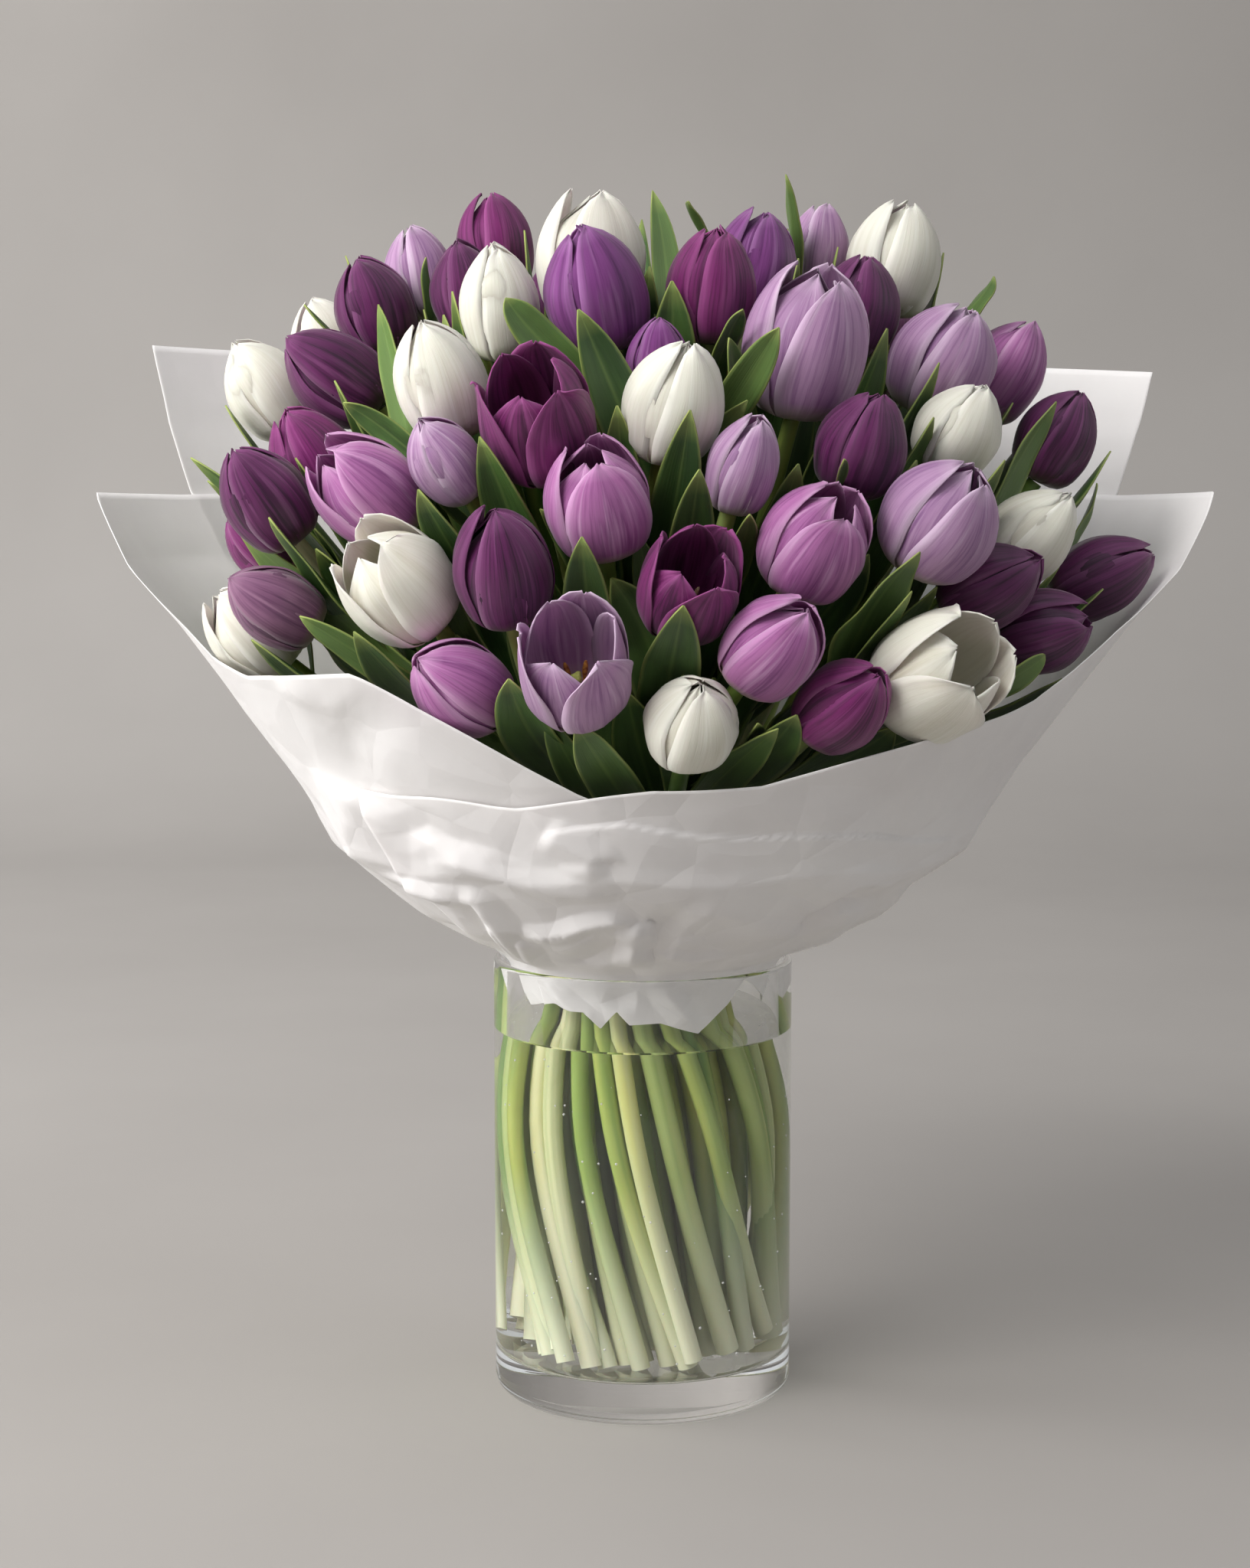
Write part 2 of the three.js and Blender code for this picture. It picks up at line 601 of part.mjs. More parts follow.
function chooseLeaf(tipAt, lowAt, width, paths, blooms, leaves) {
	// Tries the leaf at several depths in the bunch, and keeps the one with the most room round it.
	let best = null;
	for (const tipDepth of [0, -12, 12, 24, 36, -24]) {
		for (const lowDepth of [0, 15, 30, 45, 60]) {
			const tip = tipAt(tipDepth);
			const low = lowAt(lowDepth);
			const root = nearestStemPoint(low.clone().lerp(tip, -0.7), paths, leaves);
			const curve = new THREE.QuadraticBezierCurve3(root, low, tip);
			const reach = low.clone().sub(root).length();
			const control = low.clone().addScaledVector(low.clone().sub(root.clone().lerp(tip, 0.5)), 0.6);
			curve.v1.copy(reach > 1 ? control : low);
			const room = leafRoom(curve, leaves);
			const straight = 2 * Math.min(curve.getTangent(0).dot(curve.getTangent(1)), 0.4);
			for (const thin of [1, 0.75, 0.55]) {
				const clearance = leafClearance(curve, width * thin, blooms);
				const worth = Math.min(clearance, 1.2) + 2.5 * thin - 0.01 * Math.abs(tipDepth) + 0.15 * room + straight;
				if (!best || worth > best.worth) best = { worth, clearance, curve, width: width * thin };
			}
		}
	}
	return best;
}

function leafGeometry({ curve, width }, wave) {
	// A folded blade with a pointed tip: two edges and a rib, above and below.
	const rings = [];
	const stations = width < LEAF.narrow ? LEAF.fewStations : LEAF.stations;
	for (let s = 0; s < stations; s++) {
		const share = s / (stations - 1);
		const point = curve.getPoint(share);
		const along = curve.getTangent(share);
		const side = leafSide(curve, share);
		const face = new THREE.Vector3().crossVectors(side, along).normalize();
		const half = lookUp(LEAF_OUTLINE, share) * width / 2;
		const fold = half * LEAF.fold;
		const ripple = wave * Math.sin(s * 2.2);
		const at = (across, lift) => point.clone().addScaledVector(side, across).addScaledVector(face, lift);
		const t = LEAF.thickness / 2;
		rings.push([
			at(-half, fold + ripple + t), at(0, t), at(half, fold - ripple + t),
			at(half, fold - ripple - t), at(0, -t), at(-half, fold + ripple - t),
		]);
	}
	return loft(rings);
}

function placeLeaves(paths, blooms) {
	const leaves = [];
	for (const one of LEAVES) {
		const from = (u, v, size) => (depth) => onDome(u, v, size).addScaledVector(viewRay(u, v), depth);
		const tipAt = from(one.tipU, one.tipV, 1.04);
		const lowAt = from(one.lowU, one.lowV, 0.96);
		leaves.push({ ...chooseLeaf(tipAt, lowAt, one.width, paths, blooms, leaves), wave: one.wave });
	}
	for (let i = 0; i < BACK_LEAVES.count; i++) {
		const across = lerp(-1, 1, (i + 0.5) / BACK_LEAVES.count);
		const x = across * BACK_LEAVES.span;
		const y = BACK_LEAVES.y - 40 * across * across;
		const z = BACK_LEAVES.z + BACK_LEAVES.arch * (1 - across * across);
		const low = new THREE.Vector3(x * 0.9, y, z);
		const tip = new THREE.Vector3(x * 1.06, y + 8, z + BACK_LEAVES.rise);
		const back = new THREE.Vector3(0, -1, 0);
		const tipAt = (depth) => tip.clone().addScaledVector(back, depth * 0.6);
		const lowAt = (depth) => low.clone().addScaledVector(back, depth);
		leaves.push({ ...chooseLeaf(tipAt, lowAt, BACK_LEAVES.width, paths, blooms, leaves), wave: 1 });
	}
	return leaves;
}

// ---------- Paper ----------

function paperRows(degrees, topZ) {
	// Heights of the sheet at one place round: close together at the rim, even above it.
	const low = PAPER_PROFILE.slice(0, RIM_ROWS).map(([z]) => z);
	low[0] += RAGGED.depth * (0.5 + 0.5 * Math.sin(THREE.MathUtils.degToRad(degrees * RAGGED.count)));
	const from = PAPER_PROFILE[RIM_ROWS][0];
	const upper = [0, 0.3, 0.62, 1].map((share) => lerp(from, topZ, share));
	return [...low, ...upper];
}

function paperPoint(degrees, z) {
	const angle = THREE.MathUtils.degToRad(degrees);
	const inPleats = clamp((z - PLEATS.from) / 12, 0, 1) * clamp((PLEATS.to - z) / 60, 0, 1);
	const pleat = PLEATS.height * inPleats * Math.sin(angle * PLEATS.count + 1.3 * Math.sin(3 * angle));
	const radius = paperRadius(degrees, z);
	return new THREE.Vector3(radius * Math.cos(angle), radius * Math.sin(angle), z + 0.3 * pleat + pleat * 0.7);
}

function sheetGeometry(columns, rowsAt, offsetAt) {
	// A thin closed sheet: a grid of points, thickened along its own normals.
	const grid = columns.map((degrees) => rowsAt(degrees).map((z) => paperPoint(degrees, z)));
	const rows = grid[0].length;
	const normalAt = (c, r) => {
		const before = grid[Math.max(c - 1, 0)][r];
		const after = grid[Math.min(c + 1, columns.length - 1)][r];
		const below = grid[c][Math.max(r - 1, 0)];
		const above = grid[c][Math.min(r + 1, rows - 1)];
		const normal = new THREE.Vector3().crossVectors(after.clone().sub(before), above.clone().sub(below));
		if (normal.x * grid[c][r].x + normal.y * grid[c][r].y < 0) normal.negate();
		return normal.normalize();
	};
	const face = (side) => grid.map((line, c) => line.map((point, r) =>
		point.clone().addScaledVector(normalAt(c, r), offsetAt(columns[c], point.z) + side * PAPER.thickness / 2)));
	const outer = face(1);
	const inner = face(-1);
	const points = [...outer.flat(), ...inner.flat()];
	const total = columns.length * rows;
	const at = (c, r) => c * rows + r;
	const faces = [];
	for (let c = 0; c < columns.length - 1; c++) {
		for (let r = 0; r < rows - 1; r++) {
			const corners = [at(c, r), at(c, r + 1), at(c + 1, r + 1), at(c + 1, r)];
			const [p, q, s, t] = corners;
			faces.push([p, q, s], [p, s, t], [total + p, total + s, total + q], [total + p, total + t, total + s]);
		}
	}
	const rim = [];
	for (let c = 0; c < columns.length - 1; c++) rim.push([at(c, 0), at(c + 1, 0)]);
	for (let r = 0; r < rows - 1; r++) rim.push([at(columns.length - 1, r), at(columns.length - 1, r + 1)]);
	for (let c = columns.length - 1; c > 0; c--) rim.push([at(c, rows - 1), at(c - 1, rows - 1)]);
	for (let r = rows - 1; r > 0; r--) rim.push([at(0, r), at(0, r - 1)]);
	for (const [a, b] of rim) faces.push([a, b, total + b], [a, total + b, total + a]);
	return closedGeometry(points, faces);
}

function evenSteps(from, to, count) {
	return Array.from({ length: count + 1 }, (_, i) => lerp(from, to, i / count));
}

function mainLayer(degrees, z) {
	// The main sheet goes round the bunch more than once, and so works outwards; less so in the vase's mouth.
	const share = (degrees - PAPER.start) / (PAPER.end - PAPER.start);
	const aboveMouth = clamp((z - VASE.height + 7) / 10, 0, 1);
	return lerp(-PAPER.layerGap, PAPER.layerGap * lerp(PAPER.inMouth, 1, aboveMouth), share);
}

function mainSheet() {
	const columns = evenSteps(PAPER.start, PAPER.end, PAPER.columns);
	return sheetGeometry(columns, (degrees) => paperRows(degrees, lookUp(MAIN_EDGE, degrees)), mainLayer);
}

function backSheet() {
	const columns = evenSteps(PAPER.start, PAPER.end, PAPER.columns)
		.filter((degrees) => degrees <= PAPER.backStart && degrees >= PAPER.backEnd);
	const rows = (degrees) => [
		...paperRows(degrees, lookUp(MAIN_EDGE, degrees)).slice(RIM_ROWS - 1),
		lookUp(BACK_EDGE, degrees),
	];
	return sheetGeometry(columns, rows, (degrees, z) => mainLayer(degrees, z) + PAPER.backGap);
}

// ---------- Vase and water ----------

function arcPoints(x, y, radius, from, to, count) {
	return Array.from({ length: count + 1 }, (_, i) => {
		const angle = THREE.MathUtils.degToRad(lerp(from, to, i / count));
		return new THREE.Vector2(x + radius * Math.cos(angle), y + radius * Math.sin(angle));
	});
}

function turned(profile, sides) {
	return new THREE.LatheGeometry(profile, sides).rotateX(Math.PI / 2);
}

function vaseGeometry() {
	const { radius, wall, height, floor, corner, innerCorner, sides } = VASE;
	const inner = radius - wall;
	return turned([
		new THREE.Vector2(0, 0),
		...arcPoints(radius - corner, corner, corner, -90, 0, 3),
		...arcPoints(radius - wall / 2, height - wall / 2, wall / 2, 0, 180, 4),
		...arcPoints(inner - innerCorner, floor + innerCorner, innerCorner, 0, -90, 2),
		new THREE.Vector2(0, floor),
	], sides);
}

function waterSolid(paths, blooms) {
	const radius = VASE.radius - VASE.wall - GAP;
	const bottom = VASE.floor + GAP;
	const inset = VASE.innerCorner;
	const body = toSolid(turned([
		new THREE.Vector2(0, bottom),
		...arcPoints(radius - inset, bottom + inset, inset, -90, 0, 2),
		new THREE.Vector2(radius, WATER.level),
		new THREE.Vector2(0, WATER.level),
	], WATER.sides));
	const holes = paths.map((path, i) => {
		const below = path[0].clone().lerp(path[1], -0.08);
		return stemGeometry([below, ...path.slice(1, 4)], STEM.radius + HOLE_ROOM, blooms[i].axis);
	});
	return oneBody(body.subtract(join(holes)));
}

function coreGeometry() {
	return turned(CORE.outline.map(([z, radius]) => new THREE.Vector2(radius, z)), CORE.sides);
}

// ---------- Assembly ----------

const COLOURS = {
	white: 0xefece2, aubergine: 0x4a1f4c, wine: 0x6d2263, violet: 0x6a3a8f, orchid: 0x9d5fae,
	lilac: 0xb08cc4, mauve: 0x7d5585, green: 0x4f7338, glass: 0xdfe6e6, water: 0xcfdcdc, paper: 0xefeeee,
};

function makeMaterial(colour, roughness, extra = {}) {
	return new THREE.MeshStandardMaterial({ color: COLOURS[colour], roughness, metalness: 0, ...extra });
}

const bouquet = new THREE.Group();

function addNode(name, geometry, material) {
	const mesh = new THREE.Mesh(geometry, material);
	mesh.name = name;
	bouquet.add(mesh);
}

const blooms = keepApart(placeBlooms());
const paths = stemPaths(blooms);
const leaves = placeLeaves(paths, blooms);

addNode('vase', vaseGeometry(), makeMaterial('glass', 0.05, { transparent: true, opacity: 0.3 }));
addNode('water', toGeometry(waterSolid(paths, blooms)), makeMaterial('water', 0.05, { transparent: true, opacity: 0.4 }));
addNode('paper_wrap', mainSheet(), makeMaterial('paper', 0.8));
addNode('paper_back_sheet', backSheet(), makeMaterial('paper', 0.8));

const greens = [
	coreGeometry(),
	...paths.map((path, i) => stemGeometry(path, STEM.radius, blooms[i].axis)),
	...leaves.map((one) => leafGeometry(one, one.wave)),
];
addNode('stems_and_leaves', toGeometry(oneBody(join(greens))), makeMaterial('green', 0.5));

const bloomNames = [...new Set(blooms.map((bloom) => bloom.name))];
for (const name of bloomNames) {
	const members = blooms.filter((bloom) => bloom.name === name);
	const solid = join(members.map(bloomGeometry));
	addNode(`tulip_${name}`, toGeometry(solid), makeMaterial(members[0].kind, 0.45));
}

export default bouquet;
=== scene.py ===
"""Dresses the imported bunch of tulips, its paper and its vase of water for the render.

Lengths are in millimetres, as in the part's source, until a mesh is made in metres.
The blooms, stems and leaves are placed by the same rules as the solids, so that every
piece lies where the solid that it stands for lies.
"""
import logging
import math
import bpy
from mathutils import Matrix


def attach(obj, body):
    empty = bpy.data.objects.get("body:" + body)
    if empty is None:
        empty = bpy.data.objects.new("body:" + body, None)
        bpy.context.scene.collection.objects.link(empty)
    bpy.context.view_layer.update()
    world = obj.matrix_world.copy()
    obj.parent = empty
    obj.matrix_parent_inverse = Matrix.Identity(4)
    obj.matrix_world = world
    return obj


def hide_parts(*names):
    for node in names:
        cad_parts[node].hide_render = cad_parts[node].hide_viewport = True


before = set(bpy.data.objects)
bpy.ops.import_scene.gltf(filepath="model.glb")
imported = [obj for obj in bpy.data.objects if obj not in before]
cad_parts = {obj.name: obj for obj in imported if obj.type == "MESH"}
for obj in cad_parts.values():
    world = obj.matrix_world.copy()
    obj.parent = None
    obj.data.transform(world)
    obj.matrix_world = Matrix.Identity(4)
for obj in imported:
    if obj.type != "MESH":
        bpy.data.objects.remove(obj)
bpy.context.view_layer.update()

import zlib
from dataclasses import dataclass, field
from enum import Enum
from typing import Callable, Iterable, Sequence

import bpy
import numpy as np
from mathutils import Matrix, Vector

ROOT = "root"
MM = 0.001
GAP = 0.3
UP = np.array([0.0, 0.0, 1.0])
LOG = logging.getLogger("tulips")

Array = np.ndarray
Number = Array | float
Material = bpy.types.Material
Object = bpy.types.Object
Node = bpy.types.Node
Table = Sequence[tuple[float, float]]
Curve = Callable[[Array], Array]
Line = tuple[Array, Array]


# ---- small helpers


def unit(vectors: Array) -> Array:
    """Vectors of length one along the given ones."""
    return vectors / np.maximum(np.linalg.norm(vectors, axis=-1, keepdims=True), 1e-12)


def look_up(table: Table, x: Number) -> Array:
    """The value at x of a line through the table's points, which go up in x."""
    xs, ys = zip(*table)
    return np.interp(x, xs, ys)


def smooth_line(table: Table, x: Array) -> Array:
    """The value at x of a smooth curve through the table's points.

    Args:
        table: Points of the curve, going up in x.
        x: Where its values are wanted; they are held inside the table.

    Returns:
        One value for each x.
    """
    xs, ys = (np.array(line, float) for line in zip(*table))
    slopes = np.gradient(ys, xs)
    x = np.clip(x, xs[0], xs[-1])
    i = np.clip(np.searchsorted(xs, x) - 1, 0, len(xs) - 2)
    step = xs[i + 1] - xs[i]
    t = (x - xs[i]) / step
    return (
        (2 * t**3 - 3 * t**2 + 1) * ys[i]
        + (t**3 - 2 * t**2 + t) * step * slopes[i]
        + (3 * t**2 - 2 * t**3) * ys[i + 1]
        + (t**3 - t**2) * step * slopes[i + 1]
    )


def blend_values(a: Number, b: Number, share: Number) -> Array:
    """The value that lies a share of the way from a to b."""
    return a + (b - a) * share


def clamp(x: Number) -> Array:
    """x held between 0 and 1."""
    return np.clip(x, 0.0, 1.0)


def polar(radius: Number, angle: Number, z: Number) -> Array:
    """Points at a distance from the upright axis, a direction in radians and a height."""
    return np.stack(np.broadcast_arrays(radius * np.cos(angle), radius * np.sin(angle), z), axis=-1)


def bearing(points: Array) -> Array:
    """The direction of points from the upright axis, in degrees round from the right."""
    return np.degrees(np.arctan2(points[..., 1], points[..., 0]))


def first_within(line: Array, values: Array, most: float) -> Array:
    """The first point of a line whose value is small enough, or else the one with the least."""
    inside = np.nonzero(values <= most)[0]
    return line[inside[0] if len(inside) else int(np.argmin(values))]


def nearest_share(point: Array, start: Array, span: Array) -> float:
    """How far along a short line, from 0 to 1, it passes nearest to a point."""
    return min(max(float((point - start) @ span) / float(span @ span), 0.0), 1.0)


def spread(i: int, count: int) -> float:
    """The place of one of several things that are set out evenly from -1 to 1."""
    return -1 + 2 * (i + 0.5) / count


def place_object(name: str, data: bpy.types.ID) -> Object:
    """A new object in the scene."""
    made = bpy.data.objects.new(name, data)
    bpy.context.collection.objects.link(made)
    return made


def seed_of(name: str) -> int:
    """A fixed seed that belongs to a name."""
    return zlib.crc32(name.encode())


def linear(red: int, green: int, blue: int) -> tuple[float, float, float, float]:
    """A colour given in 0 to 255, as the shader's linear red, green, blue and alpha."""
    def one(value: int) -> float:
        """One channel, in linear light."""
        share = value / 255
        return share / 12.92 if share <= 0.04045 else ((share + 0.055) / 1.055) ** 2.4
    return (one(red), one(green), one(blue), 1.0)


# ---- where everything is


@dataclass(frozen=True)
class View:
    """Where the photograph was taken from, and its focal length and middle in pixels."""

    eye: tuple[float, float, float] = (-8.3, -1400.0, 457.0)
    pitch: float = math.radians(6.89)
    focal: float = 3945.0
    middle_u: float = 816.0
    middle_v: float = 1024.0
    image_height: float = 2048.0
    sensor: float = 36.0

    def ray(self, u: float, v: float) -> Array:
        """The direction in which a pixel of the photograph looks."""
        ahead = np.array([0.0, math.cos(self.pitch), -math.sin(self.pitch)])
        above = np.array([0.0, math.sin(self.pitch), math.cos(self.pitch)])
        return unit(ahead * self.focal + np.array([u - self.middle_u, 0, 0]) + above * (self.middle_v - v))

    def sight(self, u: float, v: float, ys: Array) -> Array:
        """The points of a pixel's line of sight that lie at the given depths."""
        ray = self.ray(u, v)
        return np.array(self.eye) + ray * ((ys - self.eye[1]) / ray[1])[:, None]

    def make_camera(self) -> None:
        """The camera at the photograph's place."""
        data = bpy.data.cameras.new("camera")
        data.sensor_width = self.sensor
        data.lens = self.focal * self.sensor / self.image_height
        camera = place_object("camera", data)
        camera.location = Vector(self.eye) * MM
        camera.rotation_euler = (math.pi / 2 - self.pitch, 0.0, 0.0)
        bpy.context.scene.camera = camera


@dataclass(frozen=True)
class Dome:
    """The dome that the middles of the blooms lie on, and the point that they look away from."""

    y: float = 10.0
    z: float = 330.0
    half_width: float = 210.0
    front: float = 175.0
    back: float = 115.0
    rise: float = 208.0
    focus: tuple[float, float, float] = (0.0, 0.0, 110.0)

    def level(self, p: Array) -> Array:
        """How far points lie out, as a share of the way to the dome."""
        depth = np.where(p[..., 1] < self.y, self.front, self.back)
        return np.sqrt(
            (p[..., 0] / self.half_width) ** 2
            + ((p[..., 1] - self.y) / depth) ** 2
            + ((p[..., 2] - self.z) / self.rise) ** 2
        )

    def meet(self, u: float, v: float, size: float = 1.0) -> Array:
        """Where a pixel's line of sight first meets the dome, or passes nearest to it."""
        line = VIEW.sight(u, v, np.arange(-240.0, 91.0))
        return first_within(line, self.level(line), size)


VIEW = View()
DOME = Dome()


class Kind(Enum):
    """The kinds of tulip, by colour; each value, with spaces for its underscores, also names its petals'
    material.
    """

    WHITE = "white_petals"
    AUBERGINE = "aubergine_petals"
    WINE = "wine_petals"
    VIOLET = "violet_petals"
    ORCHID = "orchid_petals"
    LILAC = "lilac_petals"
    MAUVE = "mauve_petals"


@dataclass
class Bloom:
    """One flower: its size, how far it is open (0 to 1), its lean in the view and its place."""

    name: str
    kind: Kind
    long: float
    wide: float
    open: float
    lean: float
    middle: Array
    axis: Array = field(default_factory=lambda: UP.copy())

    def face_out(self) -> None:
        """Turns the bloom away from the bunch's focus, at its lean in the view."""
        away = unit(self.middle - np.array(DOME.focus))
        rest = math.sqrt(1 - away[1] ** 2)
        self.axis = np.array([rest * math.sin(self.lean), away[1], rest * math.cos(self.lean)])

    def line(self) -> Line:
        """The ends of its middle line, as far as a ball of its own radius reaches."""
        half = max(self.long - self.wide, 2) / 2
        return self.middle - self.axis * half, self.middle + self.axis * half

    @property
    def hull(self) -> float:
        """The radius that stems and leaves keep clear of, a little over its own."""
        return self.wide / 2 * 1.04

    @property
    def base(self) -> Array:
        """Where it sits on its stem."""
        return self.middle - self.axis * self.long / 2


WHITE, AUBERGINE, WINE, VIOLET, ORCHID, LILAC, MAUVE = Kind

# Each bloom of the photograph: name, kind, place in the view in pixels, length, width, how far it
# is open, its lean in degrees and, where it isn't on the dome, how far behind it.
SEEN_BLOOMS: tuple[tuple, ...] = (
    ("left_white", WHITE, 348, 503, 50, 38, 0, -35, 6),
    ("left_white_back", WHITE, 430, 452, 48, 38, 0, -22, 20),
    ("upper_left", AUBERGINE, 431, 493, 53, 40, 0, -54),
    ("left_upper", WINE, 402, 590, 50, 40, 0.1, -32, 14),
    ("left_middle", AUBERGINE, 367, 630, 50, 38, 0, -33),
    ("left_open", ORCHID, 478, 643, 53, 44, 0.35, -48),
    ("left_small", LILAC, 580, 597, 42, 31, 0, -33),
    ("left_tall", WHITE, 574, 493, 56, 41, 0, -18),
    ("centre_open", WINE, 697, 538, 54, 48, 0.85, -12),
    ("top_left", AUBERGINE, 488, 410, 46, 37, 0, -22),
    ("top_left_pale", LILAC, 531, 360, 46, 34, 0, -14, 12),
    ("top_left_back", WINE, 645, 315, 46, 36, 0.1, -9, 24),
    ("top_left_dark", AUBERGINE, 608, 375, 44, 33, 0, -12, 6),
    ("top_left_slim", WHITE, 672, 391, 52, 36, 0, -6),
    ("top", WHITE, 772, 335, 60, 50, 0.2, 2, 14),
    ("top_front", VIOLET, 773, 388, 57, 46, 0.05, -14),
    ("top_hidden", VIOLET, 842, 458, 38, 28, 0, 2, 24),
    ("top_right", WINE, 932, 370, 52, 40, 0.15, 4),
    ("top_right_back", VIOLET, 985, 345, 50, 40, 0.1, 10, 24),
    ("centre_large", LILAC, 1057, 452, 66, 54, 0.35, 10),
    ("centre", WHITE, 883, 522, 54, 43, 0, 13),
    ("centre_small", LILAC, 969, 602, 44, 31, 0, 17),
    ("centre_low", ORCHID, 777, 654, 49, 45, 0.4, -8),
    ("right_top_small", LILAC, 1078, 325, 42, 31, 0.1, 8, 26),
    ("right_top", WHITE, 1155, 340, 54, 44, 0.1, 12, 8),
    ("right_top_dark", AUBERGINE, 1140, 400, 46, 39, 0, 10),
    ("right_upper", LILAC, 1215, 462, 54, 48, 0.2, 24),
    ("right_upper_back", ORCHID, 1322, 487, 50, 38, 0, 30, 8),
    ("right_round", WHITE, 1253, 558, 44, 38, 0, 28),
    ("right_dark", AUBERGINE, 1372, 563, 46, 36, 0, 26),
    ("right_inner", AUBERGINE, 1138, 583, 47, 41, 0, 16),
    ("right_big", LILAC, 1220, 671, 53, 50, 0.15, 32),
    ("right_slim", WHITE, 1348, 698, 50, 38, 0, 42),
    ("rightmost", AUBERGINE, 1440, 752, 51, 37, 0, 62),
    ("right_low", AUBERGINE, 1295, 765, 48, 37, 0, 58, 4),
    ("right_low_open", AUBERGINE, 1358, 815, 44, 38, 0.3, 72),
    ("right_front_open", WHITE, 1230, 872, 56, 53, 0.75, 52),
    ("front_right", WINE, 1105, 915, 45, 37, 0, 45),
    ("front_orchid", ORCHID, 1008, 837, 48, 40, 0.1, 38),
    ("right_orchid", ORCHID, 1066, 705, 50, 46, 0.4, 28),
    ("front_open_dark", WINE, 909, 762, 47, 42, 0.85, 15),
    ("front_open_pale", LILAC, 742, 849, 52, 46, 0.95, -6),
    ("front_left_dark", AUBERGINE, 658, 743, 54, 42, 0, -8),
    ("left_front_open", WHITE, 524, 755, 52, 47, 0.5, -42),
    ("front_round", WHITE, 905, 938, 42, 40, 0.1, 10),
    ("front_left", ORCHID, 589, 896, 47, 39, 0, -54),
    ("leftmost", WHITE, 290, 802, 46, 39, 0.1, -46),
    ("left_low", MAUVE, 354, 788, 46, 34, 0, -57),
    ("left_low_back", WINE, 328, 728, 40, 30, 0, -50, 14),
)


def seen_blooms() -> list[Bloom]:
    """The blooms of the photograph, each on its pixel's line of sight."""
    made = []
    for name, kind, u, v, long, wide, opening, lean, *back in SEEN_BLOOMS:
        middle = DOME.meet(u, v) + VIEW.ray(u, v) * float(sum(back))
        made.append(Bloom(name, kind, long, wide, opening, math.radians(lean), middle))
    return made


@dataclass(frozen=True)
class BackClusters:
    """Four clusters of three touching blooms, two behind and one before, that close the back."""

    kinds: tuple[Kind, ...] = (LILAC, AUBERGINE, WHITE, ORCHID)
    y: float = 104.0
    curve: float = 26.0
    z: float = 470.0
    arch: float = 34.0
    span: float = 152.0
    apart: float = 35.0
    long: float = 50.0
    wide: float = 38.0
    front_y: float = -25.0
    front_z: float = 12.0

    def blooms(self) -> list[Bloom]:
        """The twelve blooms of the clusters."""
        made = []
        for cluster, kind in enumerate(self.kinds):
            for side in (-1, 0, 1):
                across = spread(cluster, len(self.kinds))
                before = 1 if side == 0 else 0
                x = across * self.span + side * self.apart / 2
                y = self.y - self.curve * across * across + before * self.front_y
                z = self.z + self.arch * (1 - across * across) + before * self.front_z
                lean = math.atan2(x, z - DOME.focus[2])
                made.append(Bloom(f"back_cluster_{cluster + 1}", kind, self.long, self.wide, 0.0,
                                  lean, np.array([x, y, z])))
        return made


@dataclass(frozen=True)
class PaperShape:
    """The flare of the paper, its upper edges by degrees round from the right, and its pleats."""

    profile: Table = (
        (180, 56), (205.5, 63.2), (209.6, 67.5), (218, 84), (232, 109), (246, 126), (262, 147),
        (300, 171), (335, 196), (365, 218), (390, 240), (423, 258), (455, 270), (495, 280),
    )
    main_edge: Table = (
        (-500, 300), (-482, 298), (-470, 297), (-459.5, 300), (-449, 305), (-433, 307), (-415, 320),
        (-391, 337), (-372, 384), (-360, 424), (-340, 420), (-200, 420), (-180, 423), (-160, 352),
        (-151, 346), (-128, 352), (-99.5, 300), (-70, 268),
    )
    back_edge: Table = ((-340, 480), (-320, 484), (-270, 488), (-220, 490), (-202, 493))
    start: float = -70.0
    end: float = -499.0
    back_start: float = -202.0
    back_end: float = -339.0
    layer_gap: float = 1.35
    in_mouth: float = 0.15
    back_gap: float = 1.3
    leaves_rim: float = 209.6
    mouth: float = 200.0
    pleat_count: int = 11
    pleat_height: float = 3.4
    pleat_from: float = 214.0
    pleat_to: float = 330.0
    flat_front: float = 0.06
    flat_back: float = 0.4
    lopsided: float = 0.02
    flare_rise: float = 60.0

    def radius(self, degrees: Number, z: Number) -> Array:
        """How far out the paper lies, less to the front and least at the back."""
        across = np.sin(np.radians(degrees))
        flatten = np.where(across < 0, self.flat_front, self.flat_back)
        reach = clamp((z - self.leaves_rim) / self.flare_rise)
        lopsided = self.lopsided * np.cos(np.radians(degrees))
        return look_up(self.profile, z) * (1 + reach * (lopsided - flatten * across * across))

    def meet(self, u: float, v: float) -> Array:
        """Where a pixel's line of sight first meets the front of the paper."""
        line = VIEW.sight(u, v, np.arange(-300.0, 60.0, 0.5))
        beyond = np.hypot(line[:, 0], line[:, 1]) - self.radius(bearing(line), line[:, 2])
        return first_within(line, beyond, 0.0)

    def trace(self, pixels: Sequence[tuple[float, float]]) -> Array:
        """The points of the paper's front that are seen at several pixels."""
        return np.array([self.meet(u, v) for u, v in pixels])

    def top(self, degrees: float) -> float:
        """Height of the upper edge in a direction, the higher one where layers overlap."""
        turn = degrees - 360 if degrees > self.start else degrees
        under = max(turn - 360, self.end)
        return float(max(look_up(self.main_edge, turn), look_up(self.main_edge, under)))


PAPER = PaperShape()


def line_gap(first: Line, second: Line) -> Array:
    """The shortest way from one short line to another, by going from one to the other in turn."""
    (a, b), (c, d) = first, second
    ab, cd = b - a, d - c
    s, t = 0.5, 0.5
    for _ in range(6):
        t = nearest_share(a + ab * s, c, cd)
        s = nearest_share(c + cd * t, a, ab)
    return c + cd * t - a - ab * s


